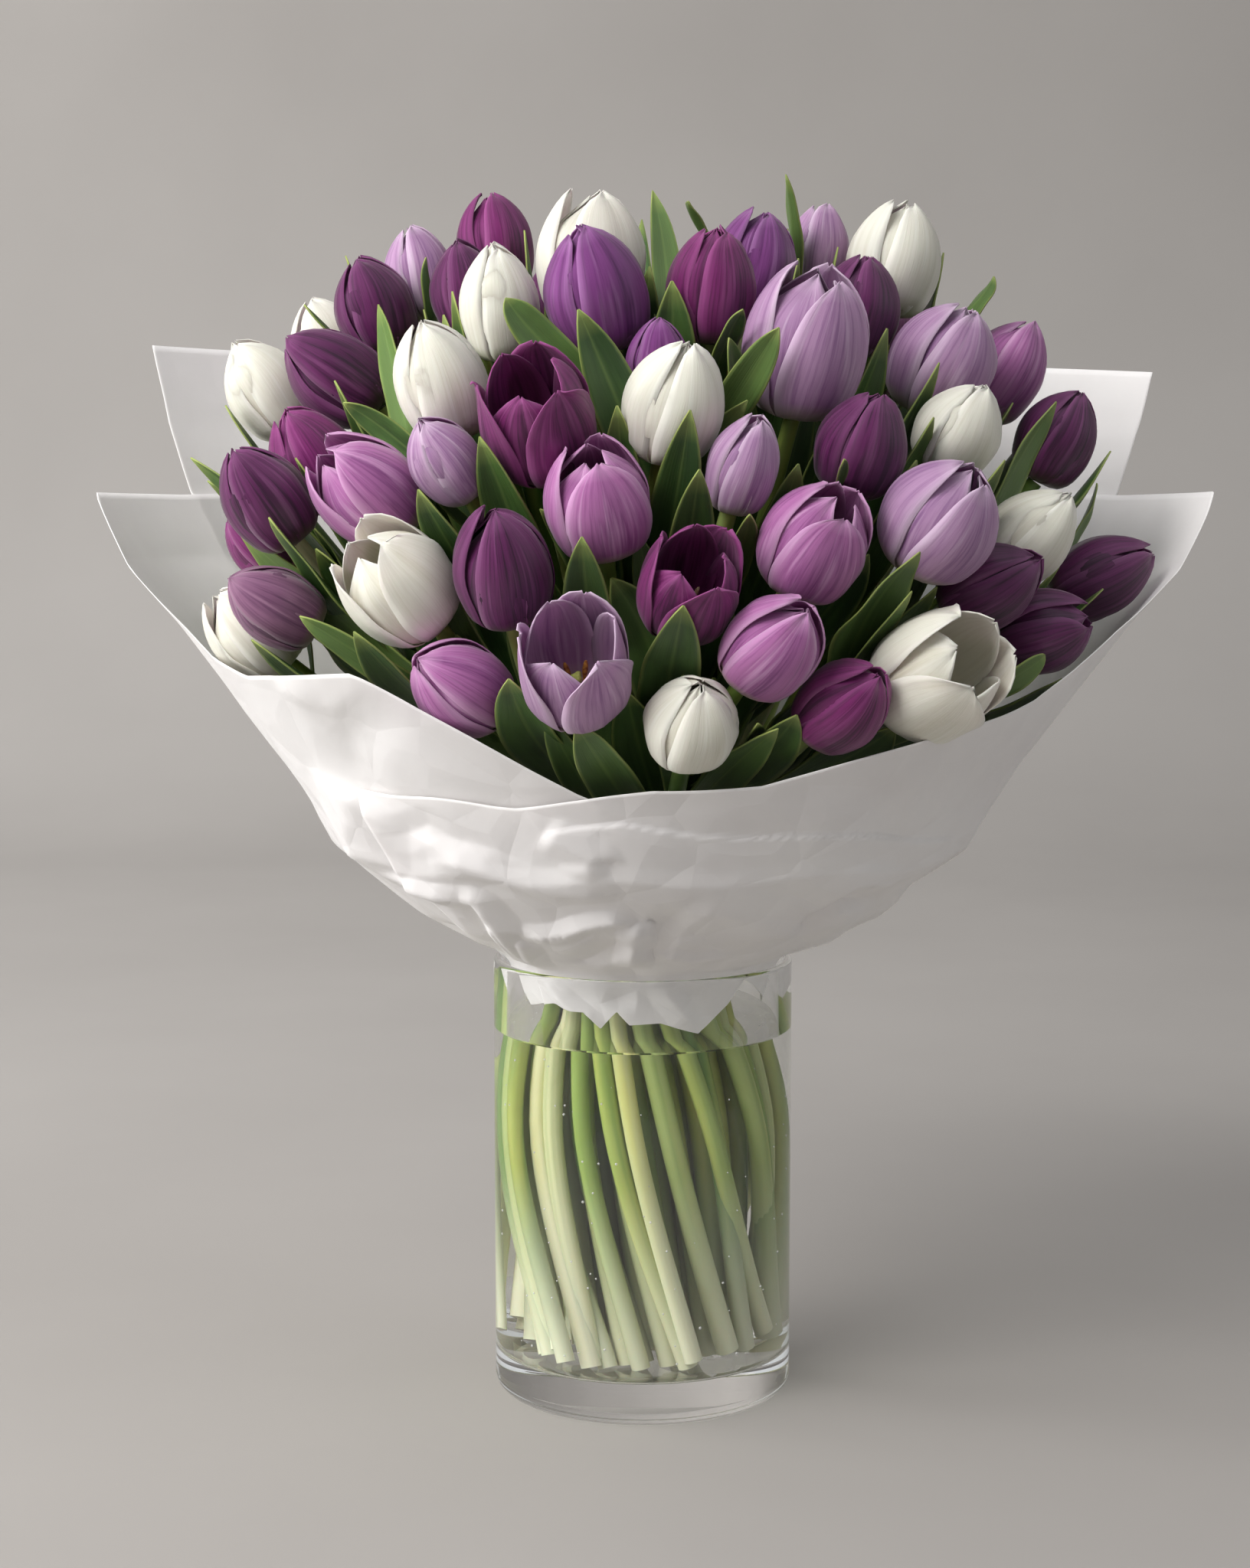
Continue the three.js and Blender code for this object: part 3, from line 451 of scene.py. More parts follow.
@dataclass
class Bouquet:
    """Places the blooms, stems and leaves."""

    rounds: int = 220
    share: float = 0.3
    sideways: float = 0.35
    apart: float = 2.2
    inside_paper: float = 3.5
    paper_at: float = 0.15
    paper_from: float = 0.48
    stem_radius: float = 5.1
    waist_z: float = 236.0
    waist_step: float = 9.8
    waist_turn: float = 9.5
    bend_z: float = 118.0
    bend_radius: float = 57.0
    foot_z: float = 20.3
    foot_radius: float = 54.5
    twist: float = math.radians(78)
    wander: float = 0.07
    segments: int = 3
    clear: float = 1.5
    clear_rounds: int = 16
    clear_share: float = 0.8
    checked: tuple[float, ...] = (-0.7, -0.35, 0.35, 0.7)
    least_depth: float = 0.25
    added_depth: float = 0.5

    def __post_init__(self) -> None:
        """Places the blooms first, then the stems that end in them."""
        self.blooms = seen_blooms() + BackClusters().blooms()
        self.keep_apart()
        self.paths = self.stem_paths()

    def keep_apart(self) -> None:
        """Moves blooms that would touch apart, mostly away from or towards the viewer."""
        blooms = self.blooms
        for bloom in blooms:
            bloom.face_out()
        for _ in range(self.rounds):
            for i, one in enumerate(blooms):
                for other in blooms[i + 1:]:
                    if one.name != other.name:
                        self.push_pair(one, other)
            for bloom in blooms:
                self.hold_inside(bloom)
                bloom.face_out()

    def push_pair(self, one: Bloom, other: Bloom) -> None:
        """Moves two blooms a little apart if they are nearer than they may be."""
        want = (one.wide + other.wide) / 2 + self.apart
        dx, dy, dz = (other.middle - one.middle).tolist()
        reach = want + (max(one.long - one.wide, 2) + max(other.long - other.wide, 2)) / 2
        if dx * dx + dy * dy + dz * dz >= reach * reach:
            return
        between = line_gap(one.line(), other.line())
        distance = float(np.linalg.norm(between))
        if distance >= want:
            return
        push = between / distance
        if abs(push[1]) < self.least_depth:
            push[1] += self.added_depth if one.middle[1] < other.middle[1] else -self.added_depth
        favoured = np.array([self.sideways, 1.0, self.sideways])
        push = unit(push) * favoured * (want - distance) * self.share
        one.middle = one.middle - push
        other.middle = other.middle + push

    def hold_inside(self, bloom: Bloom) -> None:
        """Draws a bloom in from the paper that it would run into."""
        x, y, z = bloom.middle
        degrees = math.degrees(math.atan2(y, x))
        reach = math.hypot(x, y)
        paper = float(PAPER.radius(degrees, z - bloom.wide * self.paper_at))
        most = paper - bloom.wide / 2 - self.inside_paper
        if reach > most and z - bloom.wide * self.paper_from < PAPER.top(degrees):
            half_way = (1 + most / reach) / 2
            bloom.middle = bloom.middle * np.array([half_way, half_way, 1.0])

    def push_clear(self, point: Array, own: Bloom) -> Array:
        """A point of a stem, moved out of any bloom that it would run into."""
        for bloom, middle, reach in self.hulls:
            if bloom is own or np.abs(point - middle).max() > reach + 30:
                continue
            a, b = bloom.line()
            ab = b - a
            away = point - a - ab * nearest_share(point, a, ab)
            distance = float(np.linalg.norm(away))
            short = bloom.hull + self.stem_radius + self.clear - distance
            if short > 0:
                point = point + away / distance * short
        return point

    def shared_places(self, spots: Array) -> list[int]:
        """Which place at the waist each stem takes, by swaps until no swap serves better."""
        bases = np.array([bloom.base for bloom in self.blooms])
        heading = bases[:, :2] / (bases[:, 2:] - self.waist_z + 90)
        fit = heading @ spots.T
        taken = list(range(len(spots)))
        swapped = True
        while swapped:
            swapped = False
            for i in range(len(taken)):
                for j in range(i + 1, len(taken)):
                    now = fit[i, taken[i]] + fit[j, taken[j]]
                    then = fit[i, taken[j]] + fit[j, taken[i]]
                    if then > now + 1e-6:
                        taken[i], taken[j] = taken[j], taken[i]
                        swapped = True
        return taken

    def stem_paths(self) -> list[Array]:
        """The points of each stem, from its foot on the vase's floor to its bloom."""
        self.hulls = [(bloom, bloom.middle, bloom.long) for bloom in self.blooms]
        count = len(self.blooms)
        turns = np.sqrt(4 * math.pi * self.waist_step * (np.arange(count) + 0.5) / self.waist_turn)
        reaches = self.waist_turn * turns / (2 * math.pi)
        spots = np.stack([reaches * np.cos(turns), reaches * np.sin(turns)], axis=1)
        taken = self.shared_places(spots)
        paths = []
        for i, bloom in enumerate(self.blooms):
            turn, reach = turns[taken[i]], reaches[taken[i]]
            wander = self.wander * math.sin(i * 2.4)

            def lower(radius: float, z: float, share: float) -> Array:
                """A point of the stem inside the vase."""
                at = turn + self.twist * share * (1 + wander)
                out = reach * radius / reaches[-1] * (1 + 0.5 * wander)
                return np.array([out * math.cos(at), out * math.sin(at), z])

            waist = np.array([*spots[taken[i]], self.waist_z])
            foot = lower(self.foot_radius, self.foot_z, 1.0)
            bend = lower(self.bend_radius, self.bend_z, 0.5)
            paths.append(np.array([foot, bend, *self.upper_stem(waist, bloom)]))
        return paths

    def upper_stem(self, waist: Array, bloom: Bloom) -> list[Array]:
        """The points of a stem from the waist to its bloom, clear of the other blooms."""
        base = bloom.base
        span = float(np.linalg.norm(base - waist))
        controls = (waist, waist + UP * span * 0.1 + (base - waist) * 0.3,
                    base - bloom.axis * span * 0.22, base - bloom.axis * GAP)
        upper = []
        for step in range(self.segments + 1):
            t = step / self.segments
            weights = ((1 - t) ** 3, 3 * (1 - t) ** 2 * t, 3 * (1 - t) * t * t, t ** 3)
            upper.append(sum(weight * control for weight, control in zip(weights, controls)))
        for _ in range(self.clear_rounds):
            for i in range(1, len(upper) - 1):
                upper[i] = self.push_clear(upper[i], bloom)
                for share in self.checked:
                    other = upper[i - 1 if share < 0 else i + 1]
                    between = blend_values(upper[i], other, abs(share))
                    moved = self.push_clear(between, bloom)
                    upper[i] = upper[i] + (moved - between) * self.clear_share
        return upper


@dataclass
class Blade:
    """One leaf: a curve from its root on a stem to its tip, its width and its wave."""

    root: Array
    control: Array
    tip: Array
    width: float
    wave: float = 0.0

    def point(self, t: Number) -> Array:
        """Points of its middle line."""
        t = np.asarray(t, float)[..., None]
        return (1 - t) ** 2 * self.root + 2 * (1 - t) * t * self.control + t * t * self.tip

    def along(self, t: Number) -> Array:
        """The way that its middle line runs."""
        t = np.asarray(t, float)[..., None]
        return unit((1 - t) * (self.control - self.root) + t * (self.tip - self.control))

    def side(self, t: Number) -> Array:
        """The way across it, whose face looks out from the bunch all along it."""
        chord = unit(self.tip - self.root)
        x, y, z = self.point(0.6)
        across = np.cross(chord, unit(np.array([x, y - DOME.y, (z - DOME.z) * 0.5])))
        along = self.along(t)
        return unit(across - along * (along @ across)[..., None])


@dataclass
class Foliage:
    """Chooses where the leaves grow, as deep in the bunch as leaves them most room."""

    bouquet: Bouquet
    roots_apart: float = 9.0
    apart: float = 10.0
    least_room: float = 0.2
    outline: Table = ((0, 0.34), (0.36, 0.85), (0.7, 0.95), (1, 0.06))
    tip_depths: tuple[float, ...] = (0, -12, 12, 24, 36, -24)
    low_depths: tuple[float, ...] = (0, 15, 30, 45, 60)
    back_count: int = 5
    back_y: float = 96.0
    back_z: float = 462.0
    back_arch: float = 30.0
    back_span: float = 168.0
    back_rise: float = 62.0
    back_width: float = 15.0
    back_curve: float = 40.0
    back_tip_out: float = 1.06
    back_tip_behind: float = 8.0
    back_low_in: float = 0.9
    back_tip_way: float = 0.6
    tip_level: float = 1.04
    low_level: float = 0.96
    paper_below: float = 430.0
    paper_room: float = 3.0
    most_room: float = 1.2
    thinned: tuple[float, ...] = (1.0, 0.75, 0.55)
    broad: tuple[float, ...] = (24.0, 19.0, 14.0)
    samples: tuple[float, ...] = (0.25, 0.45, 0.65, 0.85, 1.0)

    # Tip, lowest part that shows, width and wave of each leaf in the photograph.
    seen: tuple[tuple[float, ...], ...] = (
        (397, 398, 470, 470, 11), (494, 398, 530, 551, 14), (556, 336, 568, 420, 12),
        (608, 343, 638, 455, 12), (660, 389, 718, 461, 18), (755, 404, 834, 592, 24),
        (448, 526, 533, 583, 12), (496, 575, 638, 678, 17), (616, 578, 673, 672, 13),
        (249, 598, 405, 723, 14), (271, 628, 380, 735, 12), (852, 249, 879, 423, 14),
        (899, 263, 923, 321, 12), (1026, 228, 1038, 356, 13), (970, 404, 942, 455, 12),
        (952, 441, 965, 519, 12), (1017, 428, 955, 532, 17), (976, 523, 866, 678, 20, 2),
        (1102, 600, 1085, 655, 18), (979, 672, 960, 740, 12), (1298, 361, 1255, 420, 13),
        (1379, 525, 1300, 650, 20), (1432, 631, 1409, 691, 12), (1201, 721, 1108, 834, 28, 2),
        (1364, 855, 1290, 905, 14), (311, 693, 501, 857, 20, 1), (391, 805, 517, 883, 14),
        (563, 715, 622, 870, 16), (705, 665, 788, 762, 16), (833, 699, 852, 794, 13),
        (798, 755, 864, 873, 26, 2), (910, 858, 832, 1038, 14, 3), (712, 934, 774, 1044, 16),
        (752, 947, 812, 1038, 22, 2), (1016, 952, 932, 1022, 18, 2), (989, 945, 975, 1000, 14),
    )

    def __post_init__(self) -> None:
        """Gathers what the leaves keep clear of, then places them one by one."""
        blooms = self.bouquet.blooms
        lines = [bloom.line() for bloom in blooms]
        self.starts = np.array([a for a, _ in lines])
        self.spans = np.array([b - a for a, b in lines])
        self.radii = np.array([bloom.hull for bloom in blooms])
        self.stem_points = np.array([
            blend_values(path[i], path[i + 1], share)
            for path in self.bouquet.paths for i in range(2, len(path) - 1) for share in (0.1, 0.4, 0.7)
        ])
        self.blades: list[Blade] = []
        for tip_u, tip_v, low_u, low_v, width, *wave in self.seen:
            tip = DOME.meet(tip_u, tip_v, self.tip_level)
            low = DOME.meet(low_u, low_v, self.low_level)
            chosen = self.choose(tip, VIEW.ray(tip_u, tip_v), low, VIEW.ray(low_u, low_v), width)
            chosen.wave = wave[0] if wave else 0.0
            self.blades.append(chosen)
        for i in range(self.back_count):
            across = spread(i, self.back_count)
            x = across * self.back_span
            y = self.back_y - self.back_curve * across * across
            z = self.back_z + self.back_arch * (1 - across * across)
            tip = np.array([x * self.back_tip_out, y + self.back_tip_behind, z + self.back_rise])
            low = np.array([x * self.back_low_in, y, z])
            inwards = np.array([0.0, -1.0, 0.0])
            chosen = self.choose(tip, inwards * self.back_tip_way, low, inwards, self.back_width)
            chosen.wave = 1.0
            self.blades.append(chosen)

    def root_for(self, point: Array) -> Array:
        """A point on the middle of the stem that a leaf grows from, below where it shows."""
        spots = self.stem_points
        cost = np.linalg.norm(spots - point, axis=1) + 2 * np.maximum(0, spots[:, 2] - point[2] + 25)
        for blade in self.blades:
            cost[np.linalg.norm(spots - blade.root, axis=1) < self.roots_apart] = np.inf
        return spots[int(np.argmin(cost))]

    def clearance(self, blade: Blade) -> float:
        """The least room between a blade's edges and the blooms and paper."""
        t = np.arange(9) / 8
        half = look_up(self.outline, t) * blade.width / 2
        middle, side = blade.point(t), blade.side(t)
        points = np.concatenate([middle + side * (edge * half)[:, None] for edge in (-1, 0, 1)])
        offset = points[:, None] - self.starts
        share = clamp((offset * self.spans).sum(-1) / (self.spans**2).sum(-1))
        away = np.linalg.norm(offset - self.spans * share[..., None], axis=-1)
        least = float((away - self.radii).min())
        low = points[points[:, 2] < self.paper_below]
        if len(low):
            paper = PAPER.radius(bearing(low), low[:, 2] - self.paper_room) - self.paper_room
            room = paper - np.hypot(low[:, 0], low[:, 1])
            least = min(least, float(room.min()))
        return least

    def undergrowth(self) -> list[Blade]:
        """Broad leaves beside each stem, deep between the blooms, where there is room; Leaves gives them a
        low tone that paints them darker, as painted shade.
        """
        rng = np.random.default_rng(seed_of("undergrowth"))
        made: list[Blade] = []
        for bloom, path in zip(self.bouquet.blooms, self.bouquet.paths):
            across = unit(np.cross(bloom.axis, np.array([0.0, 1.0, 0.0])))
            beside = np.cross(bloom.axis, across)
            tried = []
            for turn in np.linspace(0, 2 * math.pi, 9, endpoint=False) + rng.random():
                out = across * math.cos(turn) + beside * math.sin(turn)
                for rise in (0.05, 0.4):
                    tip = bloom.base + bloom.axis * bloom.long * (rise + rng.uniform(0, 0.25))
                    tip = tip + out * bloom.wide * rng.uniform(0.58, 0.85)
                    root = blend_values(path[3], path[4], rng.uniform(0.0, 0.6))
                    control = blend_values(root, tip, 0.5) + out * rng.uniform(4, 14)
                    for width in self.broad:
                        blade = Blade(root, control, tip, width * rng.uniform(0.9, 1.05), 1.0)
                        room = self.clearance(blade)
                        if room > self.least_room:
                            near = min(float(np.linalg.norm(tip - other.tip))
                                       for other in made + self.blades)
                            tried.append((width + min(near, 30.0) * 0.6 + 12 * rise, blade))
                            break
            tried.sort(key=lambda pair: -pair[0])
            made += [blade for _, blade in tried[:1]]
            far = [blade for _, blade in tried[1:]
                   if np.linalg.norm(blade.tip - tried[0][1].tip) > bloom.wide * 0.7]
            made += far[:1]
        return made

    def choose(self, tip: Array, tip_way: Array, low: Array,
               low_way: Array, width: float) -> Blade:
        """Tries a leaf at several depths in the bunch and keeps the best.

        Args:
            tip: Where its tip is seen on the dome.
            tip_way: The direction in which the tip may lie deeper.
            low: Where its lowest visible part is seen on the dome.
            low_way: The direction in which that part may lie deeper.
            width: Its full width, which may be thinned where room is short.

        Returns:
            The leaf with the most room round it.
        """
        best, best_worth = None, -math.inf
        samples = np.array(self.samples)
        others = None
        if self.blades:
            others = np.concatenate([blade.point(samples) for blade in self.blades])
        for tip_depth in self.tip_depths:
            for low_depth in self.low_depths:
                end = tip + tip_way * tip_depth
                turn = low + low_way * low_depth
                root = self.root_for(blend_values(turn, end, -0.7))
                control = turn + (turn - blend_values(root, end, 0.5)) * 0.6
                blade = Blade(root, control, end, width)
                room = self.apart
                if others is not None:
                    gaps = np.linalg.norm(blade.point(samples)[:, None] - others, axis=-1)
                    room = min(room, float(gaps.min()))
                straight = 2 * min(float(blade.along(0.0) @ blade.along(1.0)), 0.4)
                for thin in self.thinned:
                    trial = Blade(root, control, end, width * thin)
                    worth = (min(self.clearance(trial), self.most_room) + 2.5 * thin - 0.01 * abs(tip_depth)
                             + 0.15 * room + straight)
                    if worth > best_worth:
                        best, best_worth = trial, worth
        return best


# ---- meshes


@dataclass
class Draft:
    """Points, faces and their values, gathered for one piece."""

    points: list[Array] = field(default_factory=list)
    faces: list[tuple[int, ...]] = field(default_factory=list)
    uvs: list[Array] = field(default_factory=list)
    tones: list[Array] = field(default_factory=list)
    count: int = 0

    def grid(self, points: Array, uv: Array | None = None, tone: float = 0.0,
             closed: bool = False) -> None:
        """Adds a sheet of points.

        Args:
            points: Rows by columns of points, in millimetres.
            uv: The same number of pairs, for the pattern on the sheet, or none for a plain one.
            tone: One value for the whole sheet, which varies its colour.
            closed: Whether the last column joins the first.
        """
        rows, columns = points.shape[:2]
        uv = np.zeros((rows, columns, 2)) if uv is None else uv
        last = columns if closed else columns - 1
        for r in range(rows - 1):
            for c in range(last):
                row = self.count + r * columns
                a, b = row + c, row + (c + 1) % columns
                self.faces.append((a, b, b + columns, a + columns))
        self.points.append(points.reshape(-1, 3))
        self.uvs.append(uv.reshape(-1, 2))
        self.tones.append(np.full(rows * columns, tone))
        self.count += rows * columns

    def fan(self, point: Sequence[float], first: int, sides: int, below: bool) -> None:
        """Closes a ring of points with triangles that meet at one point above or below it."""
        for side in range(sides):
            a, b = first + side, first + (side + 1) % sides
            self.faces.append((self.count, b, a) if below else (self.count, a, b))
        self.points.append(np.array([point]))
        self.uvs.append(np.zeros((1, 2)))
        self.tones.append(np.zeros(1))
        self.count += 1

    def cap(self, ring: Sequence[int]) -> None:
        """Closes a ring of points, given by number, with one face."""
        self.faces.append(tuple(ring))

    def make(self, name: str, material: Material) -> Object:
        """The gathered piece as an object in metres.

        Args:
            name: The piece's name.
            material: Its finish.

        Returns:
            The new object, linked to the scene.
        """
        mesh = bpy.data.meshes.new(name)
        points = np.concatenate(self.points) * MM
        mesh.from_pydata(points.tolist(), [], self.faces)
        loops = np.empty(len(mesh.loops), np.int32)
        mesh.loops.foreach_get("vertex_index", loops)
        layer = mesh.uv_layers.new(name="pattern")
        layer.data.foreach_set("uv", np.concatenate(self.uvs)[loops].astype(np.float32).ravel())
        tone = mesh.attributes.new("tone", "FLOAT", "POINT")
        tone.data.foreach_set("value", np.concatenate(self.tones).astype(np.float32))
        mesh.shade_smooth()
        mesh.materials.append(material)
        mesh.validate()
        return place_object(name, mesh)


def thicken(piece: Object, thickness: float, offset: float = -1.0) -> None:
    """Gives a sheet its thickness, in millimetres, with a closed rim."""
    solid = piece.modifiers.new("thickness", "SOLIDIFY")
    solid.thickness = thickness * MM
    solid.offset = offset
    solid.use_rim = True


def settle(piece: Object, nodes: Iterable[str] = ()) -> None:
    """Puts a piece on the part's one body, for the nodes that it replaces."""
    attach(piece, ROOT)
    for node in nodes:
        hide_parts(node)
    LOG.info("%s: %d faces", piece.name, len(piece.data.polygons))


# ---- materials


Operand = "Signal | float"


def arithmetic(operation: str, swapped: bool = False) -> Callable[["Signal", Operand], "Signal"]:
    """A method of Signal for one operation; where it is swapped, the other value comes first."""
    def method(self: "Signal", other: Operand) -> "Signal":
        """The result of the operation on this value and another."""
        return self.maths(operation, *((other, self) if swapped else (self, other)))
    return method


@dataclass
class Signal:
    """A shader value that adds Math nodes when it is used in arithmetic."""

    paint: "Paint"
    socket: bpy.types.NodeSocket

    def maths(self, operation: str, first: Operand, second: Operand, clamped: bool = False) -> "Signal":
        """The result of a Math node on two values."""
        node = self.paint.node("ShaderNodeMath", {"operation": operation, "use_clamp": clamped},
                               {0: first, 1: second})
        return Signal(self.paint, node.outputs[0])

    __add__, __radd__ = arithmetic("ADD"), arithmetic("ADD", swapped=True)
    __sub__, __rsub__ = arithmetic("SUBTRACT"), arithmetic("SUBTRACT", swapped=True)
    __mul__, __rmul__ = arithmetic("MULTIPLY"), arithmetic("MULTIPLY", swapped=True)
    __truediv__, __pow__ = arithmetic("DIVIDE"), arithmetic("POWER")

    def __abs__(self) -> "Signal":
        """This value without its sign."""
        return self.maths("ABSOLUTE", self, 0.0)

    def held(self) -> "Signal":
        """This value held between 0 and 1."""
        return self.maths("ADD", self, 0.0, clamped=True)

    def rise(self, low: float, high: float) -> "Signal":
        """0 where this value is at low, 1 where it is at high, and held beyond."""
        return ((self - low) / (high - low)).held()


Colour = tuple[float, float, float, float]
Settings = dict[str, object]
Values = dict[int | str, object]


class Paint:
    """One material and the nodes that make it."""

    def __init__(self, name: str, **constants: float | Colour) -> None:
        """Starts a material with the given values on its shader's own sockets."""
        self.material = bpy.data.materials.new(name)
        self.material.use_nodes = True
        self.tree = self.material.node_tree
        self.shader = self.tree.nodes["Principled BSDF"]
        for socket, value in constants.items():
            self.shader.inputs[socket.replace("_", " ")].default_value = value

    def node(self, kind: str, settings: Settings | None = None, values: Values | None = None) -> Node:
        """Adds a node.

        Args:
            kind: The node's type.
            settings: Its properties, which are set first.
            values: Its sockets' values or links, by name or number.

        Returns:
            The new node.
        """
        made = self.tree.nodes.new(kind)
        for name, value in (settings or {}).items():
            setattr(made, name, value)
        for name, value in (values or {}).items():
            socket = made.inputs[name]
            if isinstance(value, Signal):
                self.tree.links.new(value.socket, socket)
            else:
                socket.default_value = value
        return made

    def signal(self, node: Node, output: int | str = 0) -> Signal:
        """One output of a node."""
        return Signal(self, node.outputs[output])

    def split(self, vector: Signal) -> tuple[Signal, Signal, Signal]:
        """The three parts of a vector."""
        node = self.node("ShaderNodeSeparateXYZ", values={0: vector})
        return tuple(self.signal(node, i) for i in range(3))

    def join(self, x: Operand, y: Operand, z: Operand) -> Signal:
        """A vector of three values."""
        return self.signal(self.node("ShaderNodeCombineXYZ", values={0: x, 1: y, 2: z}))

    def pattern(self) -> tuple[Signal, Signal]:
        """The two directions of the piece's own UV map."""
        across, along, _ = self.split(self.signal(self.node("ShaderNodeUVMap", {"uv_map": "pattern"})))
        return across, along

    def value_of(self, attribute: str) -> Signal:
        """A value that the mesh carries."""
        return self.signal(self.node("ShaderNodeAttribute", {"attribute_name": attribute}), "Fac")

    def place(self) -> Signal:
        """The piece's own coordinates, in metres."""
        return self.signal(self.node("ShaderNodeTexCoord"), "Object")

    def noise(self, where: Signal, scale: float = 1.0, detail: float = 2.0,
              rough: float = 0.5) -> Signal:
        """Soft noise from 0 to 1."""
        return self.signal(self.node("ShaderNodeTexNoise", values={
            "Vector": where, "Scale": scale, "Detail": detail, "Roughness": rough}))

    def streaks(self, across: Signal, along: Signal, seed: Signal, detail: float = 2.0,
                rough: float = 0.5) -> Signal:
        """Noise on the piece's pattern, with its own seed; the pattern comes already scaled."""
        return self.noise(self.join(across, along, seed), detail=detail, rough=rough)

    def bent(self, where: Signal, scale: float, amount: float) -> Signal:
        """Coordinates pushed about by soft noise, so that straight patterns bend."""
        cloud = self.node("ShaderNodeTexNoise", values={"Vector": where, "Scale": scale, "Detail": 2.0})
        push = self.node("ShaderNodeVectorMath", {"operation": "SCALE"}, {
            0: self.signal(cloud, "Color"), "Scale": amount * 2})
        moved = self.node("ShaderNodeVectorMath", {"operation": "ADD"}, {0: where, 1: self.signal(push)})
        return self.signal(moved)

    def mix(self, share: Operand, first: Signal | Colour, second: Signal | Colour) -> Signal:
        """The colour that lies a share of the way from the first to the second."""
        node = self.node("ShaderNodeMix", {"data_type": "RGBA", "clamp_factor": True},
                         {0: share, 6: first, 7: second})
        return self.signal(node, 2)

    def feed(self, socket: str, value: Signal) -> None:
        """Links a value to the shader."""
        self.tree.links.new(value.socket, self.shader.inputs[socket])

    def mix_in(self, kind: str, colour: Colour, share: Operand) -> None:
        """Mixes a share of a second, plain shader into the main one."""
        other = self.node(kind, values={"Color": colour})
        mixed = self.node("ShaderNodeMixShader", values={0: share})
        self.tree.links.new(self.shader.outputs[0], mixed.inputs[1])
        self.tree.links.new(other.outputs[0], mixed.inputs[2])
        self.tree.links.new(mixed.outputs[0], self.tree.nodes["Material Output"].inputs["Surface"])

    def bump(self, height: Signal, strength: float, distance: float) -> None:
        """Raises fine relief on the surface; distance is in millimetres."""
        node = self.node("ShaderNodeBump", values={
            "Height": height, "Strength": strength, "Distance": distance * MM})
        self.feed("Normal", self.signal(node))


@dataclass(frozen=True)
class PetalFinish:
    """The colours of one kind of petal."""

    body: Colour
    deep: Colour
    edge: Colour
    foot: Colour
    flame: float = 0.5
    edging: float = 0.5
    veins: float = 0.35
    glow: float = 0.12

    def paint(self, name: str) -> Material:
        """The satin petal: streaks that run to its tip, a darker middle and paler edges."""
        paint = Paint(name, Roughness=0.42, Subsurface_Weight=self.glow, Subsurface_Scale=0.003,
                      Subsurface_Radius=(1.0, 0.7, 0.9), Specular_IOR_Level=0.45, Sheen_Weight=0.12)
        across, along = paint.pattern()
        tone = paint.value_of("tone")
        off = abs(across * 2.0 - 1.0)
        seed = tone * 23.0
        streak = paint.streaks(across * 26.0, along * 1.6, seed, detail=3.0, rough=0.6)
        broad = paint.streaks(across * 5.0, along * 1.3, seed + 5.0)
        middle = (1.0 - off * 1.9).held() * (1.0 - along.rise(0.55, 1.0) * 0.7)
        veined = middle * self.flame + streak.rise(0.46, 0.66) * self.veins
        dark = (veined + broad.rise(0.5, 0.75) * 0.3).held()
        colour = paint.mix(dark, self.body, self.deep)
        sheen = paint.streaks(across * 14.0 + 9.0, along * 1.2, seed)
        colour = paint.mix(sheen.rise(0.55, 0.72) * self.edging * 0.7, colour, self.edge)
        rim = (off.rise(0.72, 1.0) + along.rise(0.88, 1.0) * 0.8) * (0.55 + streak * 0.7)
        colour = paint.mix(rim.held() * self.edging, colour, self.edge)
        low = (1.0 - along.rise(0.02, 0.26)) * (0.5 + streak * 0.9)
        colour = paint.mix(low.held(), colour, self.foot)
        lift = paint.node("ShaderNodeHueSaturation", values={
            "Value": 0.84 + paint.streaks(seed, seed, seed) * 0.32, "Color": colour})
        paint.feed("Base Color", paint.signal(lift))
        paint.feed("Roughness", 0.34 + streak * 0.2)
        fine = paint.streaks(across * 70.0, along * 3.0, seed)
        paint.bump(fine * 0.6 + streak * 0.5, 0.35, 0.5)
        return paint.material


PETALS: dict[Kind, PetalFinish] = {
    WHITE: PetalFinish(linear(232, 227, 214), linear(208, 201, 182), linear(244, 241, 234),
                       linear(206, 212, 160), flame=0.3, edging=0.5, veins=0.3, glow=0.3),
    AUBERGINE: PetalFinish(linear(92, 32, 82), linear(46, 14, 42), linear(158, 96, 146),
                           linear(96, 84, 62), flame=0.6, edging=0.36, veins=0.7),
    WINE: PetalFinish(linear(118, 38, 100), linear(64, 15, 54), linear(180, 102, 160),
                      linear(122, 96, 84), flame=0.55, edging=0.38, veins=0.65),
    VIOLET: PetalFinish(linear(122, 60, 124), linear(76, 28, 80), linear(182, 132, 184),
                        linear(126, 110, 104), flame=0.5, edging=0.42, veins=0.6),
    ORCHID: PetalFinish(linear(170, 106, 159), linear(122, 64, 118), linear(222, 178, 214),
                        linear(196, 192, 150), flame=0.5, edging=0.6, veins=0.6, glow=0.2),
    LILAC: PetalFinish(linear(174, 136, 172), linear(130, 90, 134), linear(222, 200, 220),
                       linear(206, 204, 170), flame=0.45, edging=0.6, veins=0.6, glow=0.2),
    MAUVE: PetalFinish(linear(134, 92, 122), linear(90, 54, 84), linear(180, 144, 166),
                       linear(156, 156, 112), flame=0.55, edging=0.4, veins=0.6),
}


